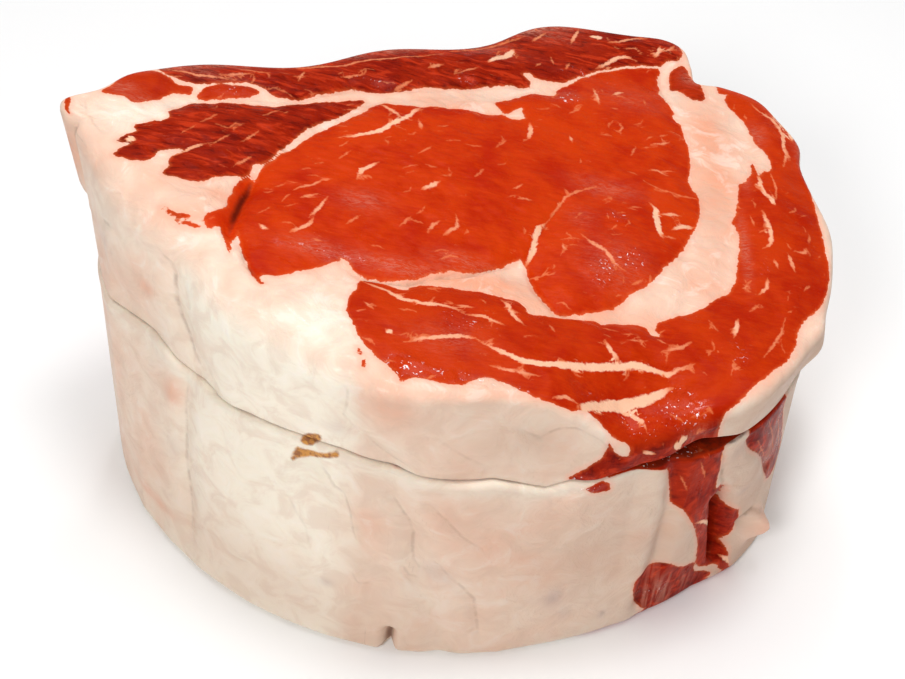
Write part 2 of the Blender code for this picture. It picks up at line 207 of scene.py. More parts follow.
# Muscles on a cut face seen from above, each with its depth of colour from 0 to 1, in mm
EYE = (
    (-45.5, -8), (-48.6, -13), (-50.3, -18), (-51.3, -22), (-52, -28), (-52.6, -34), (-52, -39), (-51, -42),
    (-49.5, -47), (-48, -50), (-46.3, -53), (-44, -56), (-44.3, -53.4), (-40, -52.5), (-37, -50.5),
    (-32, -47), (-28, -44), (-26, -42.5), (-24.5, -42.8), (-23, -45), (-20, -46.8), (-16, -46.8),
    (-12, -45.8), (-8, -44), (-4, -41.5), (0, -39.5), (5, -38), (9, -36), (12, -34), (15, -31.5),
    (17.5, -29.5), (19.2, -32), (20, -36), (22, -41), (24.5, -44), (26.5, -47), (30, -46.5), (36.5, -43.5),
    (40, -41.5), (43, -38.5), (45.5, -35), (48, -33), (50.5, -30), (53.5, -25), (54.5, -22), (57, -19),
    (60, -13), (61, -10), (62.5, -6), (64, -2), (65.3, 4), (65.3, 11), (63, 17), (63.5, 22), (64, 29),
    (63.5, 35), (62.5, 40), (62, 44), (60, 46.5), (60.3, 49), (59.5, 51.5), (57.5, 57), (56.5, 60),
    (57, 63), (56.3, 67), (57, 71), (50, 69), (44, 66), (38, 62), (34, 58.5), (31, 54), (28, 51),
    (26.3, 48.5), (26, 45.8), (20, 44.5), (17, 42.5), (12, 37.5), (9, 35), (10, 32.5), (12.3, 30),
    (14.3, 32.5), (16.5, 35), (17, 32), (17.6, 29.3), (14, 28), (11, 29), (8, 28), (-2, 27.5), (-10, 25.3),
    (-15, 24.5), (-21, 24.5), (-23.5, 23), (-26.5, 17.5), (-31, 12), (-34, 8.5), (-37, 5), (-39.5, 1),
    (-41.7, -3),
)
LEFT_MUSCLE = (
    (-26.5, 26), (-26.8, 23), (-28, 20.5), (-31.5, 15), (-37.5, 8.5), (-40.5, 4), (-42.5, 0), (-44.5, -4),
    (-46.5, -8), (-48.5, -11.5), (-51, -12.8), (-51.6, -15.2), (-53, -17.5), (-56, -19), (-59, -21),
    (-61, -23), (-64, -24.8), (-68, -24.8), (-72, -24.4), (-71, -20), (-71.3, -17.5), (-68.5, -13.5),
    (-72, -14), (-74.5, -16), (-75.5, -19), (-78, -20.8), (-82, -20.5), (-85, -19.5), (-83.5, -17),
    (-81, -14), (-85, -15), (-83, -11), (-81, -9.5), (-82, -7.5), (-80, -5.5), (-76, -3), (-74, -0.5),
    (-75, 1.5), (-73, 4), (-70, 8), (-65, 10.5), (-60, 12), (-50, 13.6), (-46, 15.5), (-42, 18),
    (-35, 21.5), (-31, 23.5),
)
BACK_LOBE_LEFT = (
    (-91.5, 4), (-92, 5.5), (-90, 9), (-89.5, 13), (-87, 15.5), (-83, 18), (-80, 18), (-77.5, 17),
    (-74.5, 14.8), (-70.5, 14.8), (-71, 12), (-75, 11), (-78, 7), (-80, 5.5), (-84, 2.5), (-87, 4.5),
)
BACK_SLIVER = (
    (-69, 11.2), (-66, 11.8), (-62, 13.5), (-56, 16), (-53.6, 18.4), (-56, 20), (-62, 19), (-66, 17),
    (-68, 15),
)
BACK_MUSCLE = (
    (-80, 19), (-74, 16.6), (-68, 16.8), (-64, 19), (-58, 21), (-53, 20.5), (-50, 18.5), (-45, 18.7),
    (-40, 22), (-35, 25.5), (-30, 28.8), (-22, 30), (-19, 31.3), (-15, 33.5), (-10, 36.5), (0, 40),
    (10, 45), (19, 48.5), (16.5, 52.5), (18.5, 53.8), (20, 52.3), (24, 52.3), (28, 53.3), (31, 56),
    (34, 59.5), (38, 63), (44, 67), (50, 70), (57, 72), (60, 75.5), (62.5, 75.5), (64, 79), (63.5, 85),
    (60, 96), (30, 98), (0, 78), (-40, 52), (-72, 34), (-88, 25),
)
HOOK_PIECE = (
    (60, 61.5), (59.8, 64), (60.2, 70), (62, 72), (64, 74), (65, 73), (66, 70), (67, 68.5), (69, 66),
    (69.5, 63), (70, 60), (69.3, 57.3), (66.5, 57.2), (64.2, 59), (62.5, 61.3),
)
CAP_AND_SIDE = (
    (73.8, 80), (74, 65), (75.2, 63), (77, 63.5), (76, 60.5), (77, 57.5), (79, 54.5), (80.5, 52),
    (82, 48.5), (82.5, 45), (83.5, 41.5), (85.5, 38), (86.8, 34), (87, 30), (86, 27.5), (84.5, 28),
    (83.5, 25), (82.3, 29), (81.5, 32), (81, 25.5), (79.5, 23.8), (79, 22), (77.2, 20), (76.5, 15),
    (75.5, 7), (74, 3), (75.5, -1), (75.5, -5), (75, -10), (73.5, -20), (72.5, -24), (71, -27), (68, -30),
    (66, -32), (64.5, -34.5), (61, -37.5), (54.5, -42), (52, -44), (51.3, -47), (52.5, -49), (50, -49),
    (49, -46.5), (46, -45.2), (41, -46.2), (38, -48.2), (36, -46.8), (28, -48.5), (24, -49), (20, -50),
    (19, -48), (16, -46.2), (5, -45.2), (-2, -45.7), (-6, -46.2), (-9, -47.5), (-9.5, -49.5), (-13, -49.2),
    (-19, -48), (-21.5, -49.5), (-21.5, -53), (-22.5, -55), (-23, -58), (-23, -62), (-21.5, -65),
    (-19, -71), (-14, -76), (-10.5, -79), (-9, -82), (-7.5, -80.5), (-5, -79.5), (0, -80), (5, -79.2),
    (7.5, -77), (10, -75.8), (14, -76), (18, -77.5), (22, -78.7), (27, -79.5), (31, -79), (33, -77.6),
    (36.5, -77.3), (40, -78.6), (44, -79.5), (50, -78.3), (56, -76), (62, -72), (66, -69.5), (70, -66),
    (73, -62.5), (79, -55.5), (83, -51), (85, -48), (87, -43), (88, -38), (90, -33.5), (94, -28), (96, -24),
    (98, -18), (99.3, -10), (99, 0), (98.4, 10), (98, 20), (97.6, 28), (99, 40), (101, 46), (96, 62),
    (88, 74),
)
BLED_SLIT = (
    (-51.3, -16), (-54.5, -21), (-54.8, -25), (-55.5, -29), (-55.5, -32), (-57, -34.5), (-59.7, -38.7),
    (-58, -41.6), (-56, -40), (-54.8, -42.5), (-53, -47), (-52.2, -48.8), (-52.2, -44), (-51.4, -40),
    (-51.4, -30), (-50.6, -20),
)
MUSCLES = (
    (EYE, 0.24), (LEFT_MUSCLE, 0.78), (BACK_LOBE_LEFT, 0.42), (BACK_SLIVER, 0.4), (BACK_MUSCLE, 0.76),
    (HOOK_PIECE, 0.6), (CAP_AND_SIDE, 0.32), (BLED_SLIT, 0.12),
)
# Red specks bled into the rim fat: half width and run
BLED_SPECKS = (
    (0.55, ((-70, -36.5), (-67, -38.6), (-63, -39.2))), (0.4, ((-64.5, -40.6), (-60.5, -41.2))),
    (0.5, ((-66.5, -39.5), (-65, -40.5))), (0.4, ((-19.3, -73.5), (-18.8, -75))),
    (0.35, ((-17.8, -77), (-17.6, -78.5))), (0.6, ((-99.8, -1), (-99, -6))),
    (0.5, ((-46.5, -52.5), (-43.6, -56.4))),
)

# Streaks of fat drawn through the lean of a cut face: half width and run, in mm
FACE_STREAKS = (
    (0.75, ((19, -31), (20.5, -26), (21.3, -20), (22, -17), (24, -14))),
    (0.35, ((24, -14), (26.5, -8), (28.5, -3), (32, 1), (37, 5))),
    (0.75, ((-31, 3), (-25, 6), (-20, 10), (-17, 14), (-14, 18), (-12, 22), (-10.6, 25.5))),
    (0.5, ((-22, 24), (-17, 19), (-15.5, 16))), (0.4, ((-11, 17.5), (-10, 13))),
    (0.55, ((19, 27.5), (19.2, 23), (18.6, 19))), (0.5, ((37, 53), (38, 48), (38.5, 44))),
    (0.5, ((42.5, 50), (44, 52), (46, 53.4))),
    (0.6, ((38, 64), (42, 68.5), (44, 71), (47, 72.4), (50, 71.6))),
    (0.4, ((41, 66.5), (42.5, 64.6))), (0.5, ((30, 25), (30.6, 22))),
    (0.4, ((53, 29.5), (56, 31), (58.5, 33.5))),
    (0.4, ((52, 17), (54.5, 18.2), (57, 16.6))), (0.3, ((50, 11.4), (55, 9.5), (60, 9), (64.6, 10.2))),
    (0.85, ((51.5, 2), (53, 0), (53, -4), (53.5, -9), (54.5, -12))),
    (0.5, ((54, -2), (57, -0.5), (60, 0.5))), (0.65, ((57, -7), (60, -4), (63.4, -2.4))),
    (0.35, ((54.5, -11), (58, -10))), (0.45, ((33, -18), (36, -21), (39, -23), (41, -26), (41.5, -29))),
    (0.4, ((28, -22.5), (28.6, -25.4))), (0.35, ((15, -4.5), (17.5, -2))),
    (0.35, ((16.5, -8.4), (20, -7.4))),
    (0.6, ((-20, -5), (-24, -9), (-25, -12.5))), (0.4, ((-40, -21), (-36, -18.5), (-33, -15))),
    (0.5, ((-31.5, -22), (-33, -26), (-35, -31))), (0.4, ((-38, -24), (-34, -21.5))),
    (0.5, ((-39, -38), (-35, -34), (-34, -31))), (0.6, ((-4, -8), (-6, -10.5), (-8.4, -12.8))),
    (0.45, ((0.6, -19.5), (1.4, -24), (-0.5, -26), (-2, -28.6))), (0.4, ((-3, -23), (-5, -25), (-6, -28.4))),
    (0.6, ((-46.5, -37), (-44.5, -38))), (0.3, ((20, -35), (23, -34.6), (24.6, -31.6))),
    (0.3, ((-26, -31), (-23, -27))), (0.3, ((5, -3), (7, 1))), (0.3, ((-10, 2), (-7, 6))),
    (0.3, ((10, 12), (12.5, 16))), (0.3, ((-30, -6), (-27.5, -2))), (0.3, ((30, 36), (33, 40))),
    (0.35, ((44, 32), (45, 35.5))), (0.3, ((47, 22), (48.5, 27))), (0.3, ((-13, -28), (-10.5, -24))),
    (0.6, ((-21, -49), (-18, -50.6), (-14, -52), (-10, -54.3), (-6, -55), (-2, -54.2), (2, -54.8),
           (5, -56.3))),
    (0.4, ((2, -53), (6.5, -53))), (0.5, ((5, -56), (9, -55.6), (14, -57.5))),
    (0.55, ((13, -47), (15, -50), (16.2, -53), (19, -56.2))),
    (0.55, ((-9, -70), (-6, -68), (-3, -67), (0, -65.8), (4, -64.7), (9, -65))),
    (0.85, ((7, -64.6), (13, -67), (18, -69), (23, -68.5), (28, -67), (33, -65), (37, -63.5), (42, -61.6),
            (46, -60.2), (50, -60), (54, -60), (58, -58), (60.4, -56.6))),
    (0.6, ((38.6, -55.6), (39.6, -58), (42, -60.6))),
    (1.2, ((33, -81), (34, -76), (37, -73), (41, -70.5), (45, -68.5), (50, -66.5), (55, -63))),
    (0.6, ((41, -70.5), (45, -70.7), (48, -72), (49.2, -74.4))),
    (0.45, ((11, -72.3), (17, -72.6), (23, -72.3))),
    (0.45, ((26, -78), (29, -76), (32, -76.6))), (0.4, ((-19.5, -58), (-17, -60.2))),
    (0.7, ((-13.4, -66.4), (-12, -67.6))), (0.3, ((25, -53), (26, -55.6))), (0.35, ((44, -54), (49, -52.4))),
    (0.35, ((51.6, -51), (54, -52.6))), (0.4, ((60, -50), (57, -53), (52.5, -55))),
    (0.3, ((64, -53), (66, -50))),
    (0.3, ((69.6, -58), (70.4, -53.6))), (0.6, ((72.6, -38), (71.6, -42), (71, -45))),
    (0.35, ((85, -34), (83.5, -40), (80.5, -46), (78, -50.4))), (0.5, ((81.6, -20), (81, -24), (78.6, -27))),
    (0.35, ((77, -21.6), (75.6, -24), (75.2, -26.4))), (0.4, ((84, -12), (84.8, -15.4))),
    (0.45, ((87.8, -8), (88.5, -12), (89.4, -15.6))), (0.4, ((93.5, -4), (92.7, -6.6), (90, -6.8))),
    (0.6, ((82.5, 8.5), (83.5, 3), (84, -2), (83.4, -6), (81.4, -8.2))),
    (0.6, ((83, 26), (83, 20), (84, 16), (86, 12))), (0.7, ((84.6, 16), (86.2, 11.2))),
    (0.35, ((86.5, 27), (87.2, 20), (86.8, 14))), (0.35, ((81.4, 20), (83.6, 16.8))),
    (0.55, ((83.5, 61), (86, 57.5), (89.5, 55), (91, 52), (92, 47), (91.5, 42), (92, 38), (90.5, 31))),
    (0.4, ((91.6, 42), (93, 36))), (1.3, ((88.6, 62), (92.6, 55), (95, 50), (94.6, 46.4))),
    (0.3, ((91, -22), (93, -19))), (0.3, ((95, 2), (94.4, -2))), (0.3, ((79, 6), (80, 1))),
    (0.3, ((76, -34), (78.4, -31))), (0.3, ((65, -40), (67, -44))),
    (1.0, ((6.6, 53.6), (8.6, 56.4), (12, 60.4), (14, 65))), (0.9, ((36, 78.6), (39, 79), (38.4, 77.4))),
    (0.5, ((30.5, 73), (32, 78), (33, 82))), (0.4, ((19, 71), (23, 76))),
    (0.45, ((41.5, 76.5), (46, 80), (50, 83), (54, 84.6))), (0.6, ((55.5, 74.8), (57, 78), (57.6, 81.4))),
    (0.45, ((57, 78), (60, 80), (62, 83.4))), (0.35, ((47, 76), (50, 77.2), (51, 74.6))),
    (0.35, ((29, 60), (30.2, 63.4))), (0.35, ((25.4, 61), (24.8, 64.6))), (0.3, ((20, 57), (22, 60))),
    (0.35, ((-50, 30), (-43, 33), (-38, 35.5), (-33, 37.2), (-30, 40), (-26, 43), (-20, 45.5), (-14, 49),
            (-6, 54))),
    (0.4, ((-44, 26), (-43, 31))), (0.35, ((-19, 31.5), (-14, 37.4))),
    (0.4, ((-79, 20), (-70, 19.6), (-60, 21.4))),
    (0.35, ((-33, 31.6), (-27, 35))), (0.3, ((-5, 56), (4, 62), (12, 69), (17, 73))),
    (0.35, ((-2, 45), (4, 50))),
    (0.3, ((-60, 26), (-52, 27))), (0.35, ((-64, 22), (-56, 24.6))), (0.4, ((-10, 44), (-6, 47.6))),
    (0.9, ((-83, -13.4), (-80.6, -13))), (0.5, ((-70.6, -16.6), (-66, -11.8), (-63, -9.6))),
    (0.35, ((-55, -7), (-52.6, -3.4), (-51.4, -1))), (0.3, ((-62, -10), (-58, -5))),
    (0.35, ((-56, -16), (-52, -11))),
    (0.3, ((-66, -2), (-62.6, 2.6))), (0.25, ((-60, -4), (-56.6, 1))), (0.3, ((-51, 7), (-47.4, 11.6))),
    (0.25, ((-70, -8), (-67, -4))),
)
# Finer ones strewn over the muscles, by number, seed, region and usual direction
FINE_REGIONS = (
    (70, 31, (-48, -40, 62, 40), 28.0, 34.0), (26, 32, (-84, -20, -30, 24), 35.0, 25.0),
    (34, 33, (-22, -80, 70, -46), 10.0, 34.0), (20, 34, (72, -50, 98, 60), 75.0, 40.0),
    (64, 35, (-80, 20, 64, 86), 35.0, 40.0), (16, 36, (20, -45, 62, 0), 80.0, 45.0),
)
# The same on the wall, as (distance along the outline, height)
UPPER_WALL_STREAKS = (
    (1.2, ((198, 72), (199.6, 69.4), (201.4, 73), (203.4, 78))), (0.6, ((189, 71), (193, 69))),
    (0.5, ((205, 71), (208, 75))),
)
LOWER_WALL_STREAKS = (
    (0.6, ((216.5, 61), (217.6, 55), (218.6, 50), (217.8, 46))),
    (0.45, ((219.5, 43), (222, 42.4), (223, 38.5), (223.8, 35))),
    (0.8, ((213, 35), (217, 33), (220.5, 29.5), (223.5, 25.5), (226, 22))),
    (0.35, ((216, 43.5), (219, 40.5), (222, 34.5), (225.5, 29))), (0.3, ((204, 56), (207, 50))),
    (0.3, ((209, 60), (212, 53))), (0.25, ((230, 56), (234, 50), (239, 43))),
    (0.3, ((234, 60), (240, 50), (245, 40))), (0.3, ((240, 58), (246, 46), (251, 36))),
    (0.8, ((231, 9), (234, 6), (236, 3))),
)
# Lean that shows on the walls, each with its depth of colour
UPPER_WALL_LEAN = (
    (((171.3, 64.2), (174, 66.6), (177, 68.7), (179, 71), (180.2, 75.5), (182, 72), (184, 70.2), (186, 71.5),
      (187.5, 76), (188.5, 84), (200, 90), (213, 88), (217, 83.5), (214, 79.5), (212, 75.5), (211.5, 72),
      (212, 67), (208, 64), (200, 63), (196.5, 63), (193, 62), (187, 64.3), (182, 63), (175, 61.6)), 0.74),
)
LOWER_WALL_LEAN = (
    (((173, 65.5), (178, 67), (181, 63), (182.3, 59), (178.5, 59.6), (176, 61.5), (174.5, 64)), 0.5),
    (((193, 68), (196, 62.5), (199, 60), (201, 55), (202.7, 49), (203.5, 45.5), (206.5, 43.3), (208.5, 40.5),
      (211, 36.5), (213.5, 32), (216, 27), (218.3, 21), (219.6, 15.5), (221.5, 11), (225, 8.5), (229, 7),
      (232, 3), (236, 0), (234, 6), (233, 11), (231.3, 15), (232.3, 20), (233, 24), (231.5, 28), (228.5, 31),
      (226.3, 33.5), (224.6, 37), (223.3, 41.5), (221.5, 44), (219.3, 46), (217.5, 46), (217, 50),
      (217.3, 56), (216, 61), (213.5, 68)), 0.7),
    (((225, 61), (227.5, 54.5), (232, 50), (236.5, 44.5), (241.5, 36.5), (245, 30), (249.5, 29), (252, 35),
      (250, 43), (247, 50), (244, 57), (242, 68), (227, 68)), 0.85),
    (((196, 18), (199, 20), (203, 20.6), (207, 21), (211, 17.6), (215, 15), (219, 14), (221, 9), (226, 6),
      (228, 3), (222, 1), (212, 2), (205, 1.5), (200, 5), (197, 11)), 0.85),
)
# Pinker or paler fat on the top face: strength, then place and reach
FACE_BLUSH = (
    (0.6, 5, 22, -42, 6), (0.35, 69, 7, 20, 45), (0.25, 50, 14, -44, 6), (0.2, 0, 30, 30, 8),
    (-0.1, -62, 24, -44, 18), (-0.25, -30, 22, -66, 14), (-0.25, -80, 14, -4, 14), (0.3, -64, 7, -38, 4),
    (0.25, -58, 5, -28, 4), (0.15, 20, 30, -84, 5), (-0.2, 52, 30, -84, 5),
)
# Thin skin over lean or fat, on the cut faces partly painted sheen: strength, then place and reach, first on
# the cut faces, then on the walls
FACE_FILM_AND_SHEEN = (
    (0.34, -23, 6, -21, 4), (0.3, -33, 8, -41, 3), (0.4, -12, 14, -42, 2.5), (0.32, 40, 9, 5, 4),
    (0.2, 33, 4, -10, 5), (0.3, 29, 3, 46, 3), (0.3, 4, 9, -36, 3), (0.6, -80, 5, 3, 3),
    (0.4, -68, 9, 21, 2), (0.2, 47, 10, 50, 6), (0.5, 0, 12, 64, 4), (0.5, 65.5, 2.5, 68, 3),
    (0.45, 84, 2.5, 45, 5), (0.6, 76.6, 1.2, -8, 12), (0.5, 79, 1.2, 24, 7), (0.45, -88, 4, 8, 3),
    (0.4, 22, 10, 76, 4), (0.25, 41, 9, -27, 9), (0.2, 1, 9, -66, 5),
)
WALL_FILM = (
    (0.55, 208, 12, 8, 7), (0.5, 242, 7, 42, 14), (0.4, 206, 6, 70, 4), (0.45, 202, 3, 28, 10),
)
# Pinker fat: strength, then place and reach on the walls
WALL_BLUSH = (
    (0.6, 3, 5, 93, 9), (0.35, 126, 9, 87, 6), (0.2, 124, 7, 43, 8), (0.5, 61, 3.5, 54, 5),
    (0.45, 56, 11, 11.5, 2.2), (0.35, 51, 3, 82, 2), (0.25, 155, 18, 47, 10), (0.15, 100, 6, 27, 3),
    (-0.2, 150, 22, 62, 2.5), (0.4, 247, 5, 10, 6), (0.25, 74, 4, 78, 4), (0.5, 241, 5, 17, 7),
)
BLUSH_AROUND = (
    (0, 0.5), (30, 0.5), (55, 0.4), (63, 0.15), (75, 0.02), (112, 0.02), (121, 0.4), (150, 0.46),
    (180, 0.42), (205, 0.35), (230, 0.3), (300, 0.45), (400, 0.55), (560, 0.5),
)
# Darker fat, partly duller fat and partly painted shade on walls turned from the key lamp: its share along
# the outline, and the extra patches, by place and reach
SHADE_AROUND = (
    (0, 0.4), (30, 0.3), (58, 0.28), (72, 0.12), (100, 0.05), (112, 0.08), (121, 0.3), (150, 0.38),
    (178, 0.4), (205, 0.5), (222, 0.65), (240, 0.8), (300, 0.55), (560, 0.5),
)
WALL_SHADE = (
    (0.32, 80, 26, 14, 20), (0.2, 128, 16, 8, 16), (0.22, 178, 16, 35, 16), (-0.25, 172, 10, 60, 4),
    (-0.2, 50, 40, 92, 8), (0.2, 160, 12, 76, 5), (0.2, 205, 8, 30, 12), (0.2, 104, 14, 12, 14),
    (-0.7, 241, 5, 17, 7),
)
# Bruised grey smears and the brown stain that the knife went through
WALL_SMEARS = (
    (0.8, 171.5, 2.6, 21, 3.4), (0.35, 175, 2, 14, 2.5), (0.7, 187, 1.2, 8, 1.6), (0.5, 112.5, 2, 21, 1.6),
    (0.45, 141, 4, 33, 4), (0.3, 200, 3, 28, 7), (0.4, 113, 3.5, 74, 3), (0.5, 230, 2, 37.5, 1.4),
    (0.35, 222, 3, 57, 2.5), (0.3, 62, 2, 37, 4), (0.3, 30, 6, 84, 5),
)
STAINS = (
    ((103.2, 64.6), (104, 66.2), (106, 67.8), (108.2, 68.4), (107.4, 66.2), (105, 64.2)),
    ((101.8, 61.4), (103.4, 60.9), (106, 61.6), (110, 63.2), (112.4, 64.8), (113.3, 64.2), (110, 62.2),
     (107, 60.3), (104, 59.4), (102, 58.4), (101, 57.4)),
)
TOP_FAT_BLUSH = 0.72
CUT_FAT_BLUSH = 0.1
# Stretch of the wall whose lean and fat follow seeded waves: where it starts and ends along the
# outline, the end counted back from the left tip, and the run over which each end fades
WAVES_START = 252.0
WAVES_START_FADE = 14.0
WAVES_END = 8.0
WAVES_END_FADE = 16.0
WAVES_TONE = 0.8
# Thin skin along the top edge of the back: its start and end along the outline
BACK_SKIN_START = 318.0
BACK_SKIN_END = 572.0
# Places where juice lies on the meat and its beads catch the light, with glints painted white on the beads:
# strength, place and reach on the top face
WET_AND_GLINT_SPOTS = (
    (1.0, 58, 5, -67, 5), (0.8, 38, 4, -31, 5), (1.1, -9, 4, -77, 3), (0.8, 30, 4, 45, 4),
    (0.6, 43, 4, -7, 3), (0.6, 46, 6, -23, 5), (0.5, 72, 4, -50, 6), (0.5, 5, 8, -59, 4),
    (0.4, 34, 6, -72, 4), (0.5, -60, 8, 17, 3), (0.5, 0, 5, 44, 3), (0.8, 8, 14, -77.5, 2),
    (0.4, 80, 5, -15, 8), (0.7, 48, 6, -73, 4), (0.45, -30, 20, -42, 2), (0.45, 57, 3, -32, 4),
    (0.4, -25, 14, 34, 3), (0.4, 35, 14, 60, 5),
)
# The same on the walls, where the beads get painted white glints too
WALL_WET_AND_GLINT_SPOTS = (
    (1.0, 203, 4, 78, 5), (0.9, 176, 4, 63, 3), (0.25, 210, 6, 55, 6), (0.7, 195, 8, 80, 5),
    (0.4, 222, 8, 40, 8), (0.5, 205, 8, 10, 5), (0.45, 105, 8, 73, 4), (0.35, 150, 10, 62, 2),
)

# How finely the two pieces are cut: points round a ring and rings from the middle of a face to its rim
# Colours of the meat, as the six figures of a screen colour
LEAN_BRIGHT = "DE4006"
LEAN_BRIGHT_DARKEST = "820C02"
LEAN_DEEP = "C62602"
LEAN_DEEP_DARKEST = "640501"
# Partly the fibres' own tone, partly painted sheen on their ridges and painted shade in the grooves between
RIDGE_TONE_AND_SHEEN = "D23C18"
GROOVE_TONE_AND_SHADE = "500402"
# Thin skin, and on the cut faces painted sheen
THIN_SKIN_AND_SHEEN = "D08A74"
LEAN_BESIDE_FAT = "E06A34"
FAT_IVORY = "FAF0DE"
FAT_PINK = "EEA686"
# The fat's relief painted darker in its hollows and lighter on its lobes, also standing for its mottling
FAT_HOLLOW_SHADE = "D9BAA6"
FAT_LOBE_LIGHT = "FFF7EC"
# Darker fat: partly its duller tone, partly painted shade
FAT_DULL_AND_SHADED = "C49C84"
FAT_BESIDE_LEAN = "F2A48A"
BRUISE = "A98D8C"
STAIN_DARK = "94500F"
STAIN_LIGHT = "CF8A2C"
THREAD_OF_FAT = "EC8250"
BROAD_STREAK = "F8C4A2"
# Painted shade at the bottom of folds and slits, in fat and in lean
FOLD_SHADE_IN_FAT = "82604F"
FOLD_SHADE_IN_LEAN = "3A0803"
# Painted shade inside the cut and in the open gap between the steaks
CUT_GAP_SHADE = "4A1C12"
# Painted glints: the near-white put into the colour on small beads of juice
PAINTED_GLINT_WHITE = "FFF4F6"

RING_POINTS = 620
LOWER_WALL_ROWS = 108
UPPER_WALL_ROWS = 34
EDGE_STEPS = 6
RIM_STEPS = 14
TOP_ROWS = 94
SPINE_SMOOTHING = 14.0
FAR = 6.0


def hump(offset, reach):
    """Smooth bump, 1 in the middle and near 0 at twice its reach."""
    return np.exp(-((offset / reach) ** 2))


def smooth_step(value):
    """Soft rise from 0 to 1 as the value goes from 0 to 1."""
    value = np.clip(value, 0.0, 1.0)
    return value * value * (3.0 - 2.0 * value)


def smooth_loop(points, steps):
    """Closed Catmull-Rom curve through the points."""
    before, here, after, beyond = (np.roll(points, shift, axis=0) for shift in (1, 0, -1, -2))
    t = (np.arange(steps) / steps)[None, :, None]
    a, b, c, d = (p[:, None, :] for p in (before, here, after, beyond))
    curve = b + 0.5 * t * (c - a + t * (2 * a - 5 * b + 4 * c - d + t * (3 * b - a - 3 * c + d)))
    return curve.reshape(-1, 2)


def spaced_stations(curve, count):
    """Even points on a closed curve, and how far along it each one lies."""
    closed = np.vstack([curve, curve[:1]])
    along = np.concatenate([[0.0], np.cumsum(np.linalg.norm(np.diff(closed, axis=0), axis=1))])
    wanted = np.linspace(0.0, along[-1], count, endpoint=False)
    spots = np.stack([np.interp(wanted, along, closed[:, axis]) for axis in (0, 1)], axis=1)
    return spots, wanted, along[-1]


def outward_directions(spots, along, length):
    """Outward directions, averaged along the outline so that insets never cross at the tip or notch."""
    run = np.roll(spots, -1, axis=0) - np.roll(spots, 1, axis=0)
    normals = np.stack([run[:, 1], -run[:, 0]], axis=1)
    normals /= np.linalg.norm(normals, axis=1)[:, None]
    apart = np.abs(along[:, None] - along[None, :])
    apart = np.minimum(apart, length - apart)
    mean = np.exp(-((apart / SPINE_SMOOTHING) ** 2)) @ normals
    return mean / np.linalg.norm(mean, axis=1)[:, None]


CUT_LIP_LINE = [(s, CUT_HEIGHT + w) for s, w in CUT_WAVER]
SPOTS, ALONG, LENGTH = spaced_stations(smooth_loop(np.array(OUTLINE), 16), RING_POINTS)
OUTWARD = outward_directions(SPOTS, ALONG, LENGTH)
# The same distances counted backwards, below 0, on the stretch that leads up to the left tip
FROM_TIP = np.where(ALONG > BACK_END, ALONG - LENGTH, ALONG)


def around(table):
    """A table of (distance along the outline, size) read at every station."""
    places, sizes = np.array(table, float).T
    return np.interp(ALONG, places, sizes, period=LENGTH)


def ripple(places, seed, size, waves=9):
    """Smooth seeded waves of about the size given, between about -1 and 1."""
    draw = np.random.default_rng(seed)
    total = np.zeros(places.shape[:-1])
    for _ in range(waves):
        way = draw.normal(size=places.shape[-1])
        way *= 2.0 * np.pi / (size * draw.uniform(0.7, 1.5) * np.linalg.norm(way))
        total += np.sin(places @ way + draw.uniform(0.0, 2.0 * np.pi))
    return total / np.sqrt(waves)


def nearest_on_run(u, v, run):
    """Signed distance from points (u, v) to an open line, and how far along it the nearest spot lies."""
    best = np.full(np.shape(u), np.inf)
    side = np.ones(np.shape(u))
    share = np.zeros(np.shape(u))
    lengths = [np.hypot(b[0] - a[0], b[1] - a[1]) for a, b in zip(run[:-1], run[1:])]
    passed = 0.0
    for (u0, v0), (u1, v1), length in zip(run[:-1], run[1:], lengths):
        du, dv = u1 - u0, v1 - v0
        part = np.clip(((u - u0) * du + (v - v0) * dv) / (length * length), 0.0, 1.0)
        gap = np.hypot(u - u0 - part * du, v - v0 - part * dv)
        nearer = gap < best
        best = np.where(nearer, gap, best)
        side = np.where(nearer, np.sign(du * (v - v0) - dv * (u - u0) + 1e-12), side)
        share = np.where(nearer, (passed + part * length) / sum(lengths), share)
        passed += length
    return best * side, share


def distance_to_run(u, v, run):
    return np.abs(nearest_on_run(u, v, run)[0])


def depth_inside(u, v, outline):
    """Distance to a closed outline, positive inside it."""
    corners = smooth_loop(np.array(outline, float), 3)
    nearest = np.full(np.shape(u), np.inf)
    inside = np.zeros(np.shape(u), bool)
    for (u0, v0), (u1, v1) in zip(corners, np.roll(corners, -1, axis=0)):
        du, dv = u1 - u0, v1 - v0
        part = np.clip(((u - u0) * du + (v - v0) * dv) / (du * du + dv * dv + 1e-9), 0.0, 1.0)
        nearest = np.minimum(nearest, (u - u0 - part * du) ** 2 + (v - v0 - part * dv) ** 2)
        crosses = (v0 > v) != (v1 > v)
        inside ^= crosses & (u < u0 + (v - v0) * du / (dv if dv else 1e-9))
    return np.where(inside, 1.0, -1.0) * np.sqrt(nearest)


def cut_height(x):
    """Height of the knife's cut between the steaks."""
    return CUT_HEIGHT - CUT_FALL * x


def top_height(x, y):
    """Height of the upper cut face, with its furrows and swellings."""
    height = TOP_HEIGHT - TOP_FALL * x
    for depth, half_width, run in FACE_FURROWS:
        height = height - depth * hump(distance_to_run(x, y, run), half_width)
    for rise, x0, reach_x, y0, reach_y in FACE_SWELLS:
        height = height + rise * hump(x - x0, reach_x) * hump(y - y0, reach_y)
    return height


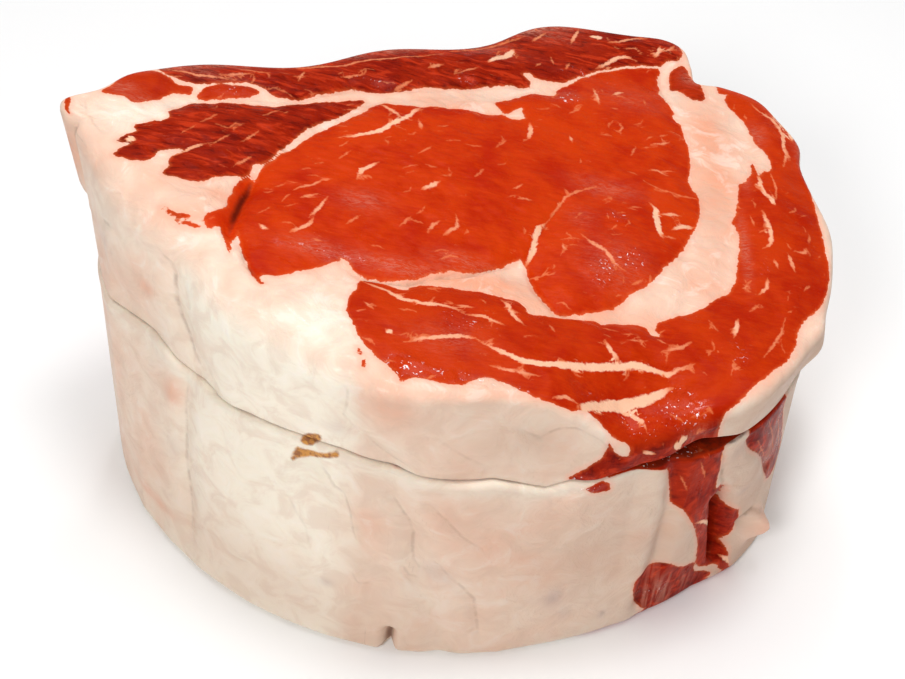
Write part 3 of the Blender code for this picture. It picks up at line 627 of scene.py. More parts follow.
def wall_relief(z):
    """How far the wall stands out at height z of every station, beyond its plain form."""
    proud = np.zeros(RING_POINTS)
    for depth, half_width, run in WALL_CREASES:
        proud -= depth * hump(distance_to_run(FROM_TIP, z, run), half_width)
    for depth, half_width, run in WALL_FOLDS:
        proud -= depth * hump(distance_to_run(FROM_TIP, z, run), FOLD_SOFTNESS * half_width)
    for height, along0, reach_along, z0, reach_z in WALL_SWELLS:
        proud += height * hump(FROM_TIP - along0, reach_along) * hump(z - z0, reach_z)
    over_cut = z - cut_height(SPOTS[:, 0]) - around(CUT_WAVER)
    below_cut = -0.5 * hump(over_cut, STEP_REACH_DOWN)
    proud -= around(CUT_STEP) * np.where(over_cut > 0.0, hump(over_cut, STEP_REACH_UP), below_cut)
    from_tip = np.minimum(ALONG, LENGTH - ALONG)
    under_flap = 1.0 - smooth_step((z - FLAP_END) / FLAP_ROUNDING)
    proud -= FLAP_STEP_IN * hump(from_tip, FLAP_HALF_WIDTH) * under_flap
    back = smooth_step((ALONG - BACK_START) / 20.0) * smooth_step((BACK_END - ALONG) / 20.0)
    turn = 2.0 * np.pi * ALONG / BACK_LOBE_LENGTH
    return proud + BACK_LOBE * back * np.sin(turn + 0.05 * z)


def wall_inset(z):
    """Inset of the plain wall at height z of every station."""
    cut = cut_height(SPOTS[:, 0])
    top = TOP_HEIGHT - TOP_FALL * SPOTS[:, 0]
    below = np.clip(z / cut, 0.0, 1.0)
    above = np.clip((z - cut) / (top - cut), 0.0, 1.0)
    lower = around(BASE_INSET) * (1.0 - below) + around(CUT_INSET) * below
    upper = around(CUT_INSET) * (1.0 - above) + around(TOP_INSET) * above
    return np.where(z < cut, lower, upper)


def wall_ring(z, inset=0.0):
    """One ring of wall points at heights z, pulled in further by inset."""
    plan = SPOTS + OUTWARD * (wall_relief(z) - wall_inset(z) - inset)[:, None]
    return np.column_stack([plan, z])


def rounded_edge(z_face, radius, up, steps):
    """Rings that round a wall over into a face at z_face, above it when up is 1 and below when -1."""
    rings = []
    for angle in np.linspace(0.0, np.pi / 2.0, steps + 1)[1:]:
        ring = wall_ring(z_face - up * radius, radius * (1.0 - np.cos(angle)))
        ring[:, 2] = z_face - up * radius * (1.0 - np.sin(angle))
        rings.append(ring)
    return rings


def face_rings(rim, shares, height):
    """Rings that shrink from the rim towards the middle of a face, ending in one point."""
    rings = []
    for share in tuple(shares) + (0.0,):
        plan = MIDDLE + share * (rim[:, :2] - MIDDLE)
        inside = np.linalg.norm(rim[:, :2] - plan, axis=1)
        rings.append(np.column_stack([plan, height(plan[:, 0], plan[:, 1], inside)]))
    rings[-1][:, 2] = rings[-1][:, 2].mean()
    return rings


def inner_shares(rows):
    """Even steps from the rim to the middle of a face, without the two ends."""
    return np.linspace(1.0, 0.0, rows + 1)[1:-1]


# Rings of the plain faces, close together near the rim, and how much painted shade each one gets where it
# lies in the cut
PLAIN_SHARES = (0.985, 0.97, 0.94, 0.88, 0.75, 0.5, 0.25)
CUT_PAINTED_SHADE = (0.4, 0.8, 1.0, 1.0, 1.0, 1.0, 1.0, 1.0)


def muscle_map(u, v, muscles, specks=()):
    """Depth into the lean at points (u, v) and how dark that lean is."""
    lean = np.full(np.shape(u), -FAR)
    weight = np.full(np.shape(u), 1e-6)
    tone = np.full(np.shape(u), 0.5e-6)
    for outline, depth_of_colour in muscles:
        depth = np.clip(depth_inside(u, v, outline), -FAR, FAR)
        pull = np.exp(2.0 * np.minimum(depth, 2.0))
        lean = np.maximum(lean, depth)
        weight += pull
        tone += pull * depth_of_colour
    for half_width, run in specks:
        lean = np.maximum(lean, half_width - distance_to_run(u, v, run))
    return lean, tone / weight


def streak_map(u, v, streaks):
    """Offset from the middle of the nearest streak of fat, and the streak's half width there."""
    offset = np.full(np.shape(u), FAR)
    half = np.full(np.shape(u), -1.0)
    nearest = np.full(np.shape(u), FAR)
    for half_width, run in streaks:
        apart, share = nearest_on_run(u, v, run)
        taper = 1.0 - 0.75 * np.abs(2.0 * share - 1.0) ** 3
        gap = np.abs(apart) - half_width * taper
        nearer = gap < nearest
        nearest = np.where(nearer, gap, nearest)
        offset = np.where(nearer, apart, offset)
        half = np.where(nearer, half_width * taper - 2.2 * np.clip(gap - 0.5, 0.0, 1.0), half)
    return np.clip(offset, -FAR, FAR), half


def crease_map(u, v, folds):
    """Offset from the nearest fold or slit, and how much painted shade its bottom gets."""
    offset = np.full(np.shape(u), FAR)
    dark = np.zeros(np.shape(u))
    for depth, half_width, run in folds:
        apart, share = nearest_on_run(u, v, run)
        nearer = np.abs(apart) < np.abs(offset)
        offset = np.where(nearer, apart, offset)
        fade = 1.0 - np.abs(2.0 * share - 1.0) ** 4
        dark = np.where(nearer, min(CREASE_SHADE_STRENGTH * depth ** 1.5, 0.95) * fade, dark)
    return offset, dark


def with_twigs(streaks, seed, chance=0.3):
    """The streaks, with short thin twigs that branch off them."""
    draw = np.random.default_rng(seed)
    grown = list(streaks)
    for half_width, run in streaks:
        for start, end in zip(np.array(run[:-1], float), np.array(run[1:], float)):
            if draw.random() > chance:
                continue
            way = (end - start) / np.linalg.norm(end - start)
            turn = draw.choice((-1.0, 1.0)) * draw.uniform(0.5, 1.1)
            across = np.array((np.cos(turn) * way[0] - np.sin(turn) * way[1],
                               np.sin(turn) * way[0] + np.cos(turn) * way[1]))
            reach = draw.uniform(1.2, 3.6)
            foot = start + draw.random() * (end - start)
            elbow = foot + 0.5 * reach * across + draw.normal(0.0, 0.25, 2)
            twig = (tuple(foot), tuple(elbow), tuple(foot + reach * across))
            grown.append((draw.uniform(0.2, 0.32), twig))
    return grown


def flecks(count, seed, box, lean_to, spread, longest=2.6, stoutest=0.28):
    """Hooked threads of fat scattered over a box, each about the direction lean_to in degrees."""
    draw = np.random.default_rng(seed)
    made = []
    for _ in range(count):
        foot = np.array((draw.uniform(box[0], box[2]), draw.uniform(box[1], box[3])))
        angle = np.radians(lean_to + spread * draw.normal())
        bend = angle + draw.uniform(-0.9, 0.9)
        reach = draw.uniform(0.8, longest)
        elbow = foot + reach * np.array((np.cos(angle), np.sin(angle)))
        tip = elbow + 0.7 * reach * np.array((np.cos(bend), np.sin(bend)))
        made.append((draw.uniform(0.12, stoutest), (tuple(foot), tuple(elbow), tuple(tip))))
    return made


def spots_map(u, v, spots):
    """Sum of soft spots, each given by strength, place and reach."""
    total = np.zeros(np.shape(u))
    for strength, u0, reach_u, v0, reach_v in spots:
        total += strength * hump(u - u0, reach_u) * hump(v - v0, reach_v)
    return total


FINE_STREAKS = [fleck for region in FINE_REGIONS for fleck in flecks(*region)]
HIDDEN_WALL_STREAKS = flecks(54, 41, (270.0, 6.0, 560.0, 92.0), 6.0, 16.0, 13.0, 0.75)


def meat_fields(rings, faceness, cut_shade, face_blush, wall_lean, wall_streaks):
    """Values for every point: lean, streaks, creases and their painted shade, tone, blush, thin skin and
    painted sheen, juice and painted glints, smear, shade, stain and the cut's painted shade.

    faceness is 0 on a wall and 1 on a cut face, and the two maps meet where the edge rounds over.
    cut_shade is 1 on the faces that meet at the knife's cut and 0 elsewhere, and sets their painted shade.
    """
    share = faceness[:, None] * np.ones(RING_POINTS)
    x, y, z = rings[..., 0], rings[..., 1], rings[..., 2]
    along = np.ones(len(rings))[:, None] * ALONG
    on_face, on_wall = share > 0.0, share < 1.0
    fields = {}

    def meet(name, face_values, wall_values):
        face_part, wall_part = np.zeros(share.shape), np.zeros(share.shape)
        face_part[on_face] = face_values
        wall_part[on_wall] = wall_values
        fields[name] = share * face_part + (1.0 - share) * wall_part

    fx, fy = x[on_face], y[on_face]
    ws, wz = along[on_wall], z[on_wall]
    near = np.where(ws > BACK_END, ws - LENGTH, ws)
    from_rim = np.linalg.norm(rings[..., :2] - SPOTS, axis=2)[on_face]
    behind = smooth_step((ALONG - BACK_SKIN_START) / 20.0) * smooth_step((BACK_SKIN_END - ALONG) / 12.0)
    behind = np.ones(len(rings))[:, None] * behind
    places = rings[on_wall]
    face_lean, face_tone = muscle_map(fx, fy, MUSCLES, BLED_SPECKS)
    side_lean, side_tone = muscle_map(near, wz, wall_lean)
    waves = smooth_step((ws - WAVES_START) / WAVES_START_FADE)
    waves *= smooth_step((LENGTH - WAVES_END - ws) / WAVES_END_FADE)
    cover = 1.4 - 2.1 * smooth_step((ws - 388.0) / 20.0) + 0.9 * smooth_step((ws - 540.0) / 24.0)
    patches = 3.0 * ripple(places * (0.4, 0.4, 1.5), 5, 26.0)
    patches += 0.7 * ripple(places * (0.5, 0.5, 1.3), 6, 7.0)
    patches -= 1.9 * cover
    patches = np.clip(patches, -FAR, FAR) * waves - FAR * (1.0 - waves)
    side_lean = np.where(waves > 0.0, np.maximum(side_lean, patches), side_lean)
    meet("lean", face_lean, side_lean)
    meet("tone", face_tone, side_tone * (1.0 - waves) + WAVES_TONE * waves)
    threads = FINE_STREAKS + with_twigs(FACE_STREAKS, 21)
    face_offset, face_half = streak_map(fx, fy, threads)
    wall_offset, wall_half = streak_map(near, wz, with_twigs(wall_streaks, 22) + HIDDEN_WALL_STREAKS)
    meet("streak_offset", face_offset, wall_offset)
    meet("streak_half", face_half, wall_half)
    face_crease, face_crease_shade = crease_map(fx, fy, FACE_SLITS)
    wall_crease, wall_crease_shade = crease_map(near, wz, WALL_FOLDS)
    meet("crease_offset", face_crease, wall_crease)
    meet("crease_painted_shade", face_crease_shade, wall_crease_shade)
    lip = hump(wz - np.interp(near, *np.array(CUT_LIP_LINE).T) + 1.4, 1.8)
    meet("blush", face_blush + spots_map(fx, fy, FACE_BLUSH),
         np.interp(ws, *np.array(BLUSH_AROUND, float).T, period=LENGTH) + spots_map(near, wz, WALL_BLUSH)
         - 0.25 * lip)
    membrane = 0.6 * behind[on_face] * hump(from_rim - 0.6, 2.0)
    meet("film_and_sheen", spots_map(fx, fy, FACE_FILM_AND_SHEEN) + membrane, spots_map(near, wz, WALL_FILM) + 0.25 * waves)
    meet("wet_and_glints", spots_map(fx, fy, WET_AND_GLINT_SPOTS), spots_map(near, wz, WALL_WET_AND_GLINT_SPOTS))
    meet("smear", 0.0, spots_map(near, wz, WALL_SMEARS))
    meet("shade", 0.0, np.clip(np.interp(ws, *np.array(SHADE_AROUND, float).T, period=LENGTH)
                               + spots_map(near, wz, WALL_SHADE), 0.0, 1.0))
    # Painted shade in the open gap between the steaks at the right
    mouth = smooth_step((ALONG - GAP_START) / 8.0) * smooth_step((GAP_END - ALONG) / 8.0)
    gap_shade = 0.95 * mouth * hump(z - cut_height(x) - 1.5, 5.0) * np.clip(share * 1.6, 0.0, 1.0)
    fields["cut_shade"] = np.maximum(cut_shade[:, None] * np.ones(RING_POINTS), gap_shade)
    fields["side"] = 1.0 - share
    all_near = np.ones(len(rings))[:, None] * FROM_TIP
    stains = [np.clip(depth_inside(all_near, z, spot), -FAR, FAR) for spot in STAINS]
    fields["stain"] = np.max(stains, axis=0)
    return fields


def closed_piece(name, rings, fields, material):
    """Wraps a flat grid round the rings, from the lowest face's middle to the upper one's."""
    bm = bmesh.new()
    bmesh.ops.create_grid(bm, x_segments=RING_POINTS, y_segments=len(rings) - 1, size=1.0)
    mesh = bpy.data.meshes.new(name)
    bm.to_mesh(mesh)

    def wrapped(values):
        return np.concatenate([values, values[:, :1]], axis=1)

    mesh.vertices.foreach_set("co", (wrapped(rings) * MM).astype(np.float32).ravel())
    for field, values in fields.items():
        layer = mesh.attributes.new(field, "FLOAT", "POINT")
        layer.data.foreach_set("value", wrapped(values).astype(np.float32).ravel())
    bm.clear()
    bm.from_mesh(mesh)
    bmesh.ops.remove_doubles(bm, verts=bm.verts, dist=1e-7)
    bmesh.ops.recalc_face_normals(bm, faces=bm.faces)
    bm.to_mesh(mesh)
    bm.free()
    mesh.shade_smooth()
    mesh.materials.append(material)
    piece = bpy.data.objects.new(name, mesh)
    bpy.context.scene.collection.objects.link(piece)
    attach(piece, "root")
    return piece


def cut_waver(inside):
    """Waver of the cut at the wall, which dies out inwards."""
    return around(CUT_WAVER) * smooth_step(1.0 - inside / WAVER_REACH)


def build_lower_steak(material):
    """The thick lower steak: flat base, fat and meat wall, and the face left by the knife."""
    base_z = np.zeros(RING_POINTS)
    plain_cut = cut_height(SPOTS[:, 0]) - KNIFE_GAP / 2.0
    cut_z = plain_cut + around(CUT_WAVER)
    low = rounded_edge(base_z, BASE_EDGE, -1, EDGE_STEPS)
    high = rounded_edge(cut_z, CUT_EDGE_LOWER, 1, EDGE_STEPS)
    walls = [
        wall_ring(base_z + BASE_EDGE + share * (cut_z - CUT_EDGE_LOWER - BASE_EDGE))
        for share in np.linspace(0.0, 1.0, LOWER_WALL_ROWS)
    ]
    base = face_rings(low[-1], PLAIN_SHARES, lambda x, y, inside: np.zeros_like(x))
    cut = face_rings(high[-1], PLAIN_SHARES,
                     lambda x, y, inside: cut_height(x) - KNIFE_GAP / 2.0 + cut_waver(inside))
    rings = np.array(base[::-1] + low[::-1] + walls + high + cut)
    over = np.linspace(0.0, 1.0, EDGE_STEPS + 1)[1:]
    plain_wall = np.zeros(len(walls))
    faceness = np.concatenate([np.ones(len(base)), over[::-1], plain_wall, over, np.ones(len(cut))])
    cut_shade = np.concatenate([np.zeros(len(rings) - len(cut)), CUT_PAINTED_SHADE])
    fields = meat_fields(rings, faceness, cut_shade, CUT_FAT_BLUSH, LOWER_WALL_LEAN, LOWER_WALL_STREAKS)
    return closed_piece("lower_steak_meat", rings, fields, material)


def build_upper_steak(material):
    """The upper steak: a wedge, thick at the left, with the muscled face on top."""
    lift = around(GAP_LIFT)
    drop = around(CORNER_DROP)
    radius = around(RIM_RADIUS)
    under_z = cut_height(SPOTS[:, 0]) + KNIFE_GAP / 2.0 + lift + around(CUT_WAVER)

    def underside(x, y, inside):
        fade = smooth_step(1.0 - inside / LIFT_REACH)
        return cut_height(x) + KNIFE_GAP / 2.0 + lift * fade + cut_waver(inside)

    def top_face(x, y, inside):
        height = top_height(x, y) - drop * smooth_step(1.0 - inside / DROP_REACH)
        fade = smooth_step(inside / 6.0)
        lean = muscle_map(x, y, MUSCLES)[0]
        height += LEAN_BULGE * fade * (1.0 - np.exp(-np.clip(lean, 0.0, FAR) / LEAN_SHOULDER))
        for depth, half_width, run in FACE_SLITS:
            height -= depth * hump(distance_to_run(x, y, run), half_width)
        place = np.column_stack([x, y])
        return height + fade * (0.16 * ripple(place, 11, 9.0) + 0.08 * ripple(place, 12, 3.6))

    rim_plan = wall_ring(TOP_HEIGHT - TOP_FALL * SPOTS[:, 0] - drop, radius)
    rim_z = top_height(rim_plan[:, 0], rim_plan[:, 1]) - drop
    low = rounded_edge(under_z, CUT_EDGE_UPPER, -1, EDGE_STEPS)
    high = rounded_edge(rim_z, radius, 1, RIM_STEPS)
    foot_z = under_z + CUT_EDGE_UPPER
    walls = [
        wall_ring(foot_z + share * (rim_z - radius - foot_z))
        for share in np.linspace(0.0, 1.0, UPPER_WALL_ROWS)
    ]
    under = face_rings(low[-1], PLAIN_SHARES, underside)
    top = face_rings(high[-1], inner_shares(TOP_ROWS), top_face)
    rings = np.array(under[::-1] + low[::-1] + walls + high + top)
    over = np.linspace(0.0, 1.0, EDGE_STEPS + 1)[1:]
    rim_over = smooth_step(np.linspace(0.0, 1.6, RIM_STEPS + 1)[1:])
    plain_wall = np.zeros(len(walls))
    faceness = np.concatenate([np.ones(len(under)), over[::-1], plain_wall, rim_over, np.ones(len(top))])
    cut_shade = np.concatenate([np.ones(len(under)), over[::-1], np.zeros(len(walls) + RIM_STEPS + len(top))])
    fields = meat_fields(rings, faceness, cut_shade, TOP_FAT_BLUSH, UPPER_WALL_LEAN, UPPER_WALL_STREAKS)
    return closed_piece("upper_steak_meat", rings, fields, material)


def screen_colour(code):
    """Linear colour from the six figures of a screen colour."""
    parts = [int(code[place:place + 2], 16) / 255.0 for place in (0, 2, 4)]
    return tuple(((p + 0.055) / 1.055) ** 2.4 if p > 0.04 else p / 12.92 for p in parts) + (1.0,)


class Wiring:
    """Adds nodes to one tree and joins them, taking sockets or plain values as inputs."""

    def __init__(self, tree):
        self.tree = tree

    def add(self, kind, inputs=None, **settings):
        made = self.tree.nodes.new(kind)
        for name, value in settings.items():
            setattr(made, name, value)
        for place, value in (inputs or {}).items():
            self.feed(made.inputs[place], value)
        return made

    def feed(self, socket, value):
        if isinstance(value, bpy.types.NodeSocket):
            self.tree.links.new(value, socket)
        else:
            socket.default_value = value

    def math(self, operation, first, second=0.0, third=0.0):
        made = self.add("ShaderNodeMath", {0: first, 1: second}, operation=operation)
        if operation == "MULTIPLY_ADD":
            self.feed(made.inputs[2], third)
        return made.outputs[0]

    def ramp(self, value, low, high, out_low=0.0, out_high=1.0):
        made = self.add("ShaderNodeMapRange", {"Value": value, "From Min": low, "From Max": high,
                                               "To Min": out_low, "To Max": out_high})
        made.interpolation_type = "SMOOTHSTEP"
        return made.outputs["Result"]

    def between(self, share, low, high):
        """Value that runs from low to high as share runs from 0 to 1."""
        return self.math("MULTIPLY_ADD", share, self.math("SUBTRACT", high, low), low)

    def mix(self, share, first, second):
        made = self.add("ShaderNodeMix", data_type="RGBA")
        self.feed(made.inputs["Factor"], share)
        self.feed(made.inputs[6], first)
        self.feed(made.inputs[7], second)
        return made.outputs[2]

    def tinted(self, share, colour, code):
        """The colour, pulled towards a screen colour by a share."""
        return self.mix(share, colour, screen_colour(code))

    def noise(self, place, scale, detail=3.0, roughness=0.5, distortion=0.0):
        made = self.add("ShaderNodeTexNoise", {"Vector": place, "Scale": scale, "Detail": detail,
                                               "Roughness": roughness, "Distortion": distortion})
        return made.outputs["Fac"]

    def stretched(self, place, turn, scale):
        made = self.add("ShaderNodeMapping", {"Vector": place, "Rotation": turn, "Scale": scale})
        return made.outputs["Vector"]

    def field(self, name):
        return self.add("ShaderNodeAttribute", attribute_name=name).outputs["Fac"]


def new_group(name, inputs, outputs):
    """A shader node group with named float, colour or vector sockets."""
    group = bpy.data.node_groups.new(name, "ShaderNodeTree")
    kinds = {"float": "NodeSocketFloat", "colour": "NodeSocketColor", "vector": "NodeSocketVector"}
    for label, kind, value in inputs:
        socket = group.interface.new_socket(label, in_out="INPUT", socket_type=kinds[kind])
        if value is not None:
            socket.default_value = value
    for label, kind in outputs:
        group.interface.new_socket(label, in_out="OUTPUT", socket_type=kinds[kind])
    wiring = Wiring(group)
    entry = wiring.add("NodeGroupInput").outputs
    leave = wiring.add("NodeGroupOutput").inputs
    return group, wiring, entry, leave


def fine_marbling_group():
    """Short broken threads of fat, drawn out along the grain of the muscle."""
    group, w, entry, leave = new_group(
        "fine_marbling", (("Place", "vector", None), ("Amount", "float", 0.5), ("Thread", "float", 0.1)),
        (("Mask", "float"),))
    drift = w.add("ShaderNodeTexNoise", {"Vector": entry["Place"], "Scale": 0.3, "Detail": 2.0})
    moved = {0: drift.outputs["Color"], 1: (5.0, 5.0, 5.0), 2: entry["Place"]}
    shifted = w.add("ShaderNodeVectorMath", moved, operation="MULTIPLY_ADD").outputs[0]
    drawn = w.stretched(shifted, (0.0, 0.0, np.radians(-58.0)), (0.16, 0.42, 0.16))
    cells = w.add("ShaderNodeTexVoronoi", {"Vector": drawn, "Scale": 1.0}, feature="DISTANCE_TO_EDGE")
    threads = w.ramp(cells.outputs["Distance"], 0.0, entry["Thread"], 1.0, 0.0)
    broken = w.noise(w.stretched(entry["Place"], (0.0, 0.0, np.radians(-58.0)), (0.22, 0.5, 0.3)), 1.0, 3.0)
    limit = w.math("SUBTRACT", 0.78, w.math("MULTIPLY", entry["Amount"], 0.3))
    kept = w.ramp(broken, limit, w.math("ADD", limit, 0.1))
    w.feed(leave["Mask"], w.math("MULTIPLY", threads, kept))
    return group


def lean_grain_group():
    """Bundles of fibre: cobbled where the knife cut them end on, and long upright threads on the sides."""
    group, w, entry, leave = new_group(
        "lean_grain", (("Place", "vector", None), ("Bundle", "float", 1.3), ("Side", "float", 0.0)),
        (("Height", "float"), ("Shade", "float")))
    drawn = w.stretched(entry["Place"], (0.0, 0.0, np.radians(-58.0)), (0.55, 1.0, 0.8))
    bundles = w.noise(drawn, w.math("DIVIDE", 0.7, entry["Bundle"]), 5.0, 0.62)
    level = w.stretched(entry["Place"], (0.0, 0.0, np.radians(-4.0)), (0.16, 1.5, 0.7))
    lines = w.noise(level, 1.0, 3.0, 0.6, 0.3)
    upright = w.stretched(entry["Place"], (0.0, np.radians(14.0), 0.0), (0.5, 0.5, 0.045))
    threads = w.noise(upright, 1.0, 4.0, 0.55, 0.5)
    face_shade = w.math("MULTIPLY_ADD", lines, 0.5, w.math("MULTIPLY", bundles, 0.5))
    w.feed(leave["Height"], w.between(entry["Side"], bundles, threads))
    w.feed(leave["Shade"], w.between(entry["Side"], face_shade, threads))
    return group


def fat_surface_group():
    """Soft lobes of the fat: a height, the same relief again for mottled colour with painted light on the
    lobes and painted shade in the hollows, and a broad warmth.
    """
    group, w, entry, leave = new_group(
        "fat_surface", (("Place", "vector", None),),
        (("Height", "float"), ("Relief Shading", "float"), ("Warmth", "float")))
    soft = w.noise(entry["Place"], 0.06, 3.0, 0.55, 0.4)
    upright = w.noise(w.stretched(entry["Place"], (0.0, 0.0, 0.0), (1.0, 1.0, 1.3)), 0.11, 5.0, 0.6, 0.8)
    w.feed(leave["Height"], upright)
    w.feed(leave["Relief Shading"], upright)
    w.feed(leave["Warmth"], soft)
    return group


def wet_film_and_glints_group():
    """Juice on the meat: where it lies, the small beads that catch the light, and where glints are painted
    white on the beads.
    """
    group, w, entry, leave = new_group(
        "wet_film_and_glints", (("Place", "vector", None), ("Wetness", "float", 0.2)),
        (("Roughness Change", "float"), ("Bead Height", "float"), ("Wet Share", "float"),
         ("Painted Glints", "float")))
    pools = w.noise(entry["Place"], 0.16, 3.0, 0.5, 0.4)
    wetness = w.ramp(entry["Wetness"], 0.05, 0.6)
    w.feed(leave["Bead Height"], w.math("MULTIPLY", w.noise(entry["Place"], 0.75, 2.0, 0.6), wetness))
    w.feed(leave["Wet Share"], w.math("MULTIPLY", w.ramp(pools, 0.4, 0.5), wetness))
    # Painted glints: small dots where the beads crowd, painted near-white later
    dots = w.ramp(w.noise(entry["Place"], 1.05, 2.0, 0.6, 0.6), 0.64, 0.69)
    crowd = w.ramp(w.math("MULTIPLY_ADD", pools, 0.6, entry["Wetness"]), 0.55, 0.95)
    w.feed(leave["Painted Glints"], w.math("MULTIPLY", dots, crowd))
    w.feed(leave["Roughness Change"], w.ramp(pools, 0.35, 0.7, 0.1, -0.1))
    return group


def lean_colour(w, place, grain, lean_depth):
    """Red of the muscles: deeper in old meat, with ridges painted with sheen and shade, thin skin with
    painted sheen, and a paler rim beside the fat.
    """
    bright = w.mix(w.field("tone"), screen_colour(LEAN_BRIGHT), screen_colour(LEAN_BRIGHT_DARKEST))
    deeper = w.mix(w.field("tone"), screen_colour(LEAN_DEEP), screen_colour(LEAN_DEEP_DARKEST))
    large = w.noise(place, 0.07, 3.0, 0.5, 0.6)
    patchy = w.math("MULTIPLY_ADD", large, 0.6, w.math("MULTIPLY", grain["Shade"], 0.4))
    lean = w.mix(w.ramp(patchy, 0.34, 0.62), deeper, bright)
    # Old meat's ridges and grooves: partly their own tone, partly painted sheen and painted shade
    ridges = w.noise(w.stretched(place, (0.0, 0.0, np.radians(-8.0)), (0.12, 0.5, 0.3)), 1.0, 4.0, 0.62, 0.8)
    old_meat = w.ramp(w.field("tone"), 0.35, 0.8)
    lean = w.tinted(w.math("MULTIPLY", w.ramp(ridges, 0.5, 0.66, 0.0, 0.62), old_meat), lean, RIDGE_TONE_AND_SHEEN)
    lean = w.tinted(w.math("MULTIPLY", w.ramp(ridges, 0.48, 0.34, 0.0, 0.62), old_meat), lean, GROOVE_TONE_AND_SHADE)
    fibres = w.noise(w.stretched(place, (0.0, 0.0, np.radians(12.0)), (0.5, 3.0, 0.9)), 1.0, 3.0, 0.65, 1.2)
    film_lines = w.between(w.field("side"), fibres, grain["Shade"])
    # Thin skin, and painted sheen on the cut faces
    film_and_sheen_share = w.math("MULTIPLY", w.field("film_and_sheen"), w.ramp(film_lines, 0.44, 0.6, 0.1, 1.0))
    lean = w.tinted(w.math("MINIMUM", film_and_sheen_share, 0.85), lean, THIN_SKIN_AND_SHEEN)
    lean = w.tinted(w.ramp(lean_depth, 0.9, 0.0, 0.0, 0.3), lean, LEAN_BESIDE_FAT)
    return lean


def fat_colour(w, place, fat, waver, lean_depth, lean_mask):
    """Ivory to pink of the fat, with painted light and shade on its relief, darker fat that is partly
    painted shade, bruises, the brown stain and the streaks within the lean.
    """
    blush = w.math("ADD", w.field("blush"), w.math("MULTIPLY", w.math("SUBTRACT", fat["Warmth"], 0.5), 0.9))
    colour = w.mix(w.ramp(blush, 0.0, 1.3), screen_colour(FAT_IVORY), screen_colour(FAT_PINK))
    # Colour that follows the relief: painted shade in its hollows and painted light on its lobes, which also
    # reads as mottling
    colour = w.tinted(w.ramp(fat["Relief Shading"], 0.56, 0.36, 0.0, 0.32), colour, FAT_HOLLOW_SHADE)
    colour = w.tinted(w.ramp(fat["Relief Shading"], 0.54, 0.66, 0.0, 0.32), colour, FAT_LOBE_LIGHT)
    # Darker fat: partly a duller tone, partly painted shade on the walls turned away from the key lamp
    colour = w.tinted(w.field("shade"), colour, FAT_DULL_AND_SHADED)
    colour = w.tinted(w.ramp(lean_depth, -1.8, 0.0, 0.0, 0.4), colour, FAT_BESIDE_LEAN)
    colour = w.tinted(w.math("MULTIPLY", w.field("smear"), 0.55), colour, BRUISE)
    stained = w.math("MULTIPLY_ADD", waver, 1.4, w.math("ADD", w.field("stain"), 0.35))
    stain_spots = w.ramp(w.noise(place, 0.8, 3.0), 0.4, 0.62)
    stain_colour = w.mix(stain_spots, screen_colour(STAIN_DARK), screen_colour(STAIN_LIGHT))
    colour = w.mix(w.ramp(stained, -0.5, 0.5, 0.0, 0.92), colour, stain_colour)
    thickness = w.ramp(w.field("streak_half"), 0.2, 0.8)
    streak_fat = w.mix(thickness, screen_colour(THREAD_OF_FAT), screen_colour(BROAD_STREAK))
    colour = w.mix(lean_mask, colour, streak_fat)
    return colour


def with_painted_shade(w, place, surface, swerve, waver, lean_share):
    """The surface with painted shade in its folds, its slits and the inside of the cut."""
    # Painted shade along the bottom of folds and slits, darker where they are deeper
    crease_place = w.math("ABSOLUTE", w.math("MULTIPLY_ADD", swerve, 0.4, w.field("crease_offset")))
    crease_width = w.math("MULTIPLY_ADD", w.field("crease_painted_shade"), 1.3, 0.45)
    crease_shade_line = w.ramp(crease_place, 0.1, crease_width, 1.0, 0.0)
    crease_shade_line = w.math("MULTIPLY", crease_shade_line, w.field("crease_painted_shade"))
    broken = w.ramp(w.noise(place, 0.3, 3.0), 0.4, 0.6, 0.35, 1.0)
    kept = w.math("MAXIMUM", broken, w.ramp(w.field("crease_painted_shade"), 0.4, 0.8))
    crease_shade_line = w.math("MULTIPLY", crease_shade_line, kept)
    crease_shade_colour = w.mix(lean_share, screen_colour(FOLD_SHADE_IN_FAT), screen_colour(FOLD_SHADE_IN_LEAN))
    surface = w.mix(crease_shade_line, surface, crease_shade_colour)
    # Painted shade inside the cut and the gap between the steaks
    cut_gap_shade_share = w.math("MULTIPLY", w.ramp(w.field("cut_shade"), 0.5, 1.0), w.ramp(waver, -0.12, 0.12, 0.9, 0.5))
    surface = w.tinted(cut_gap_shade_share, surface, CUT_GAP_SHADE)
    return surface


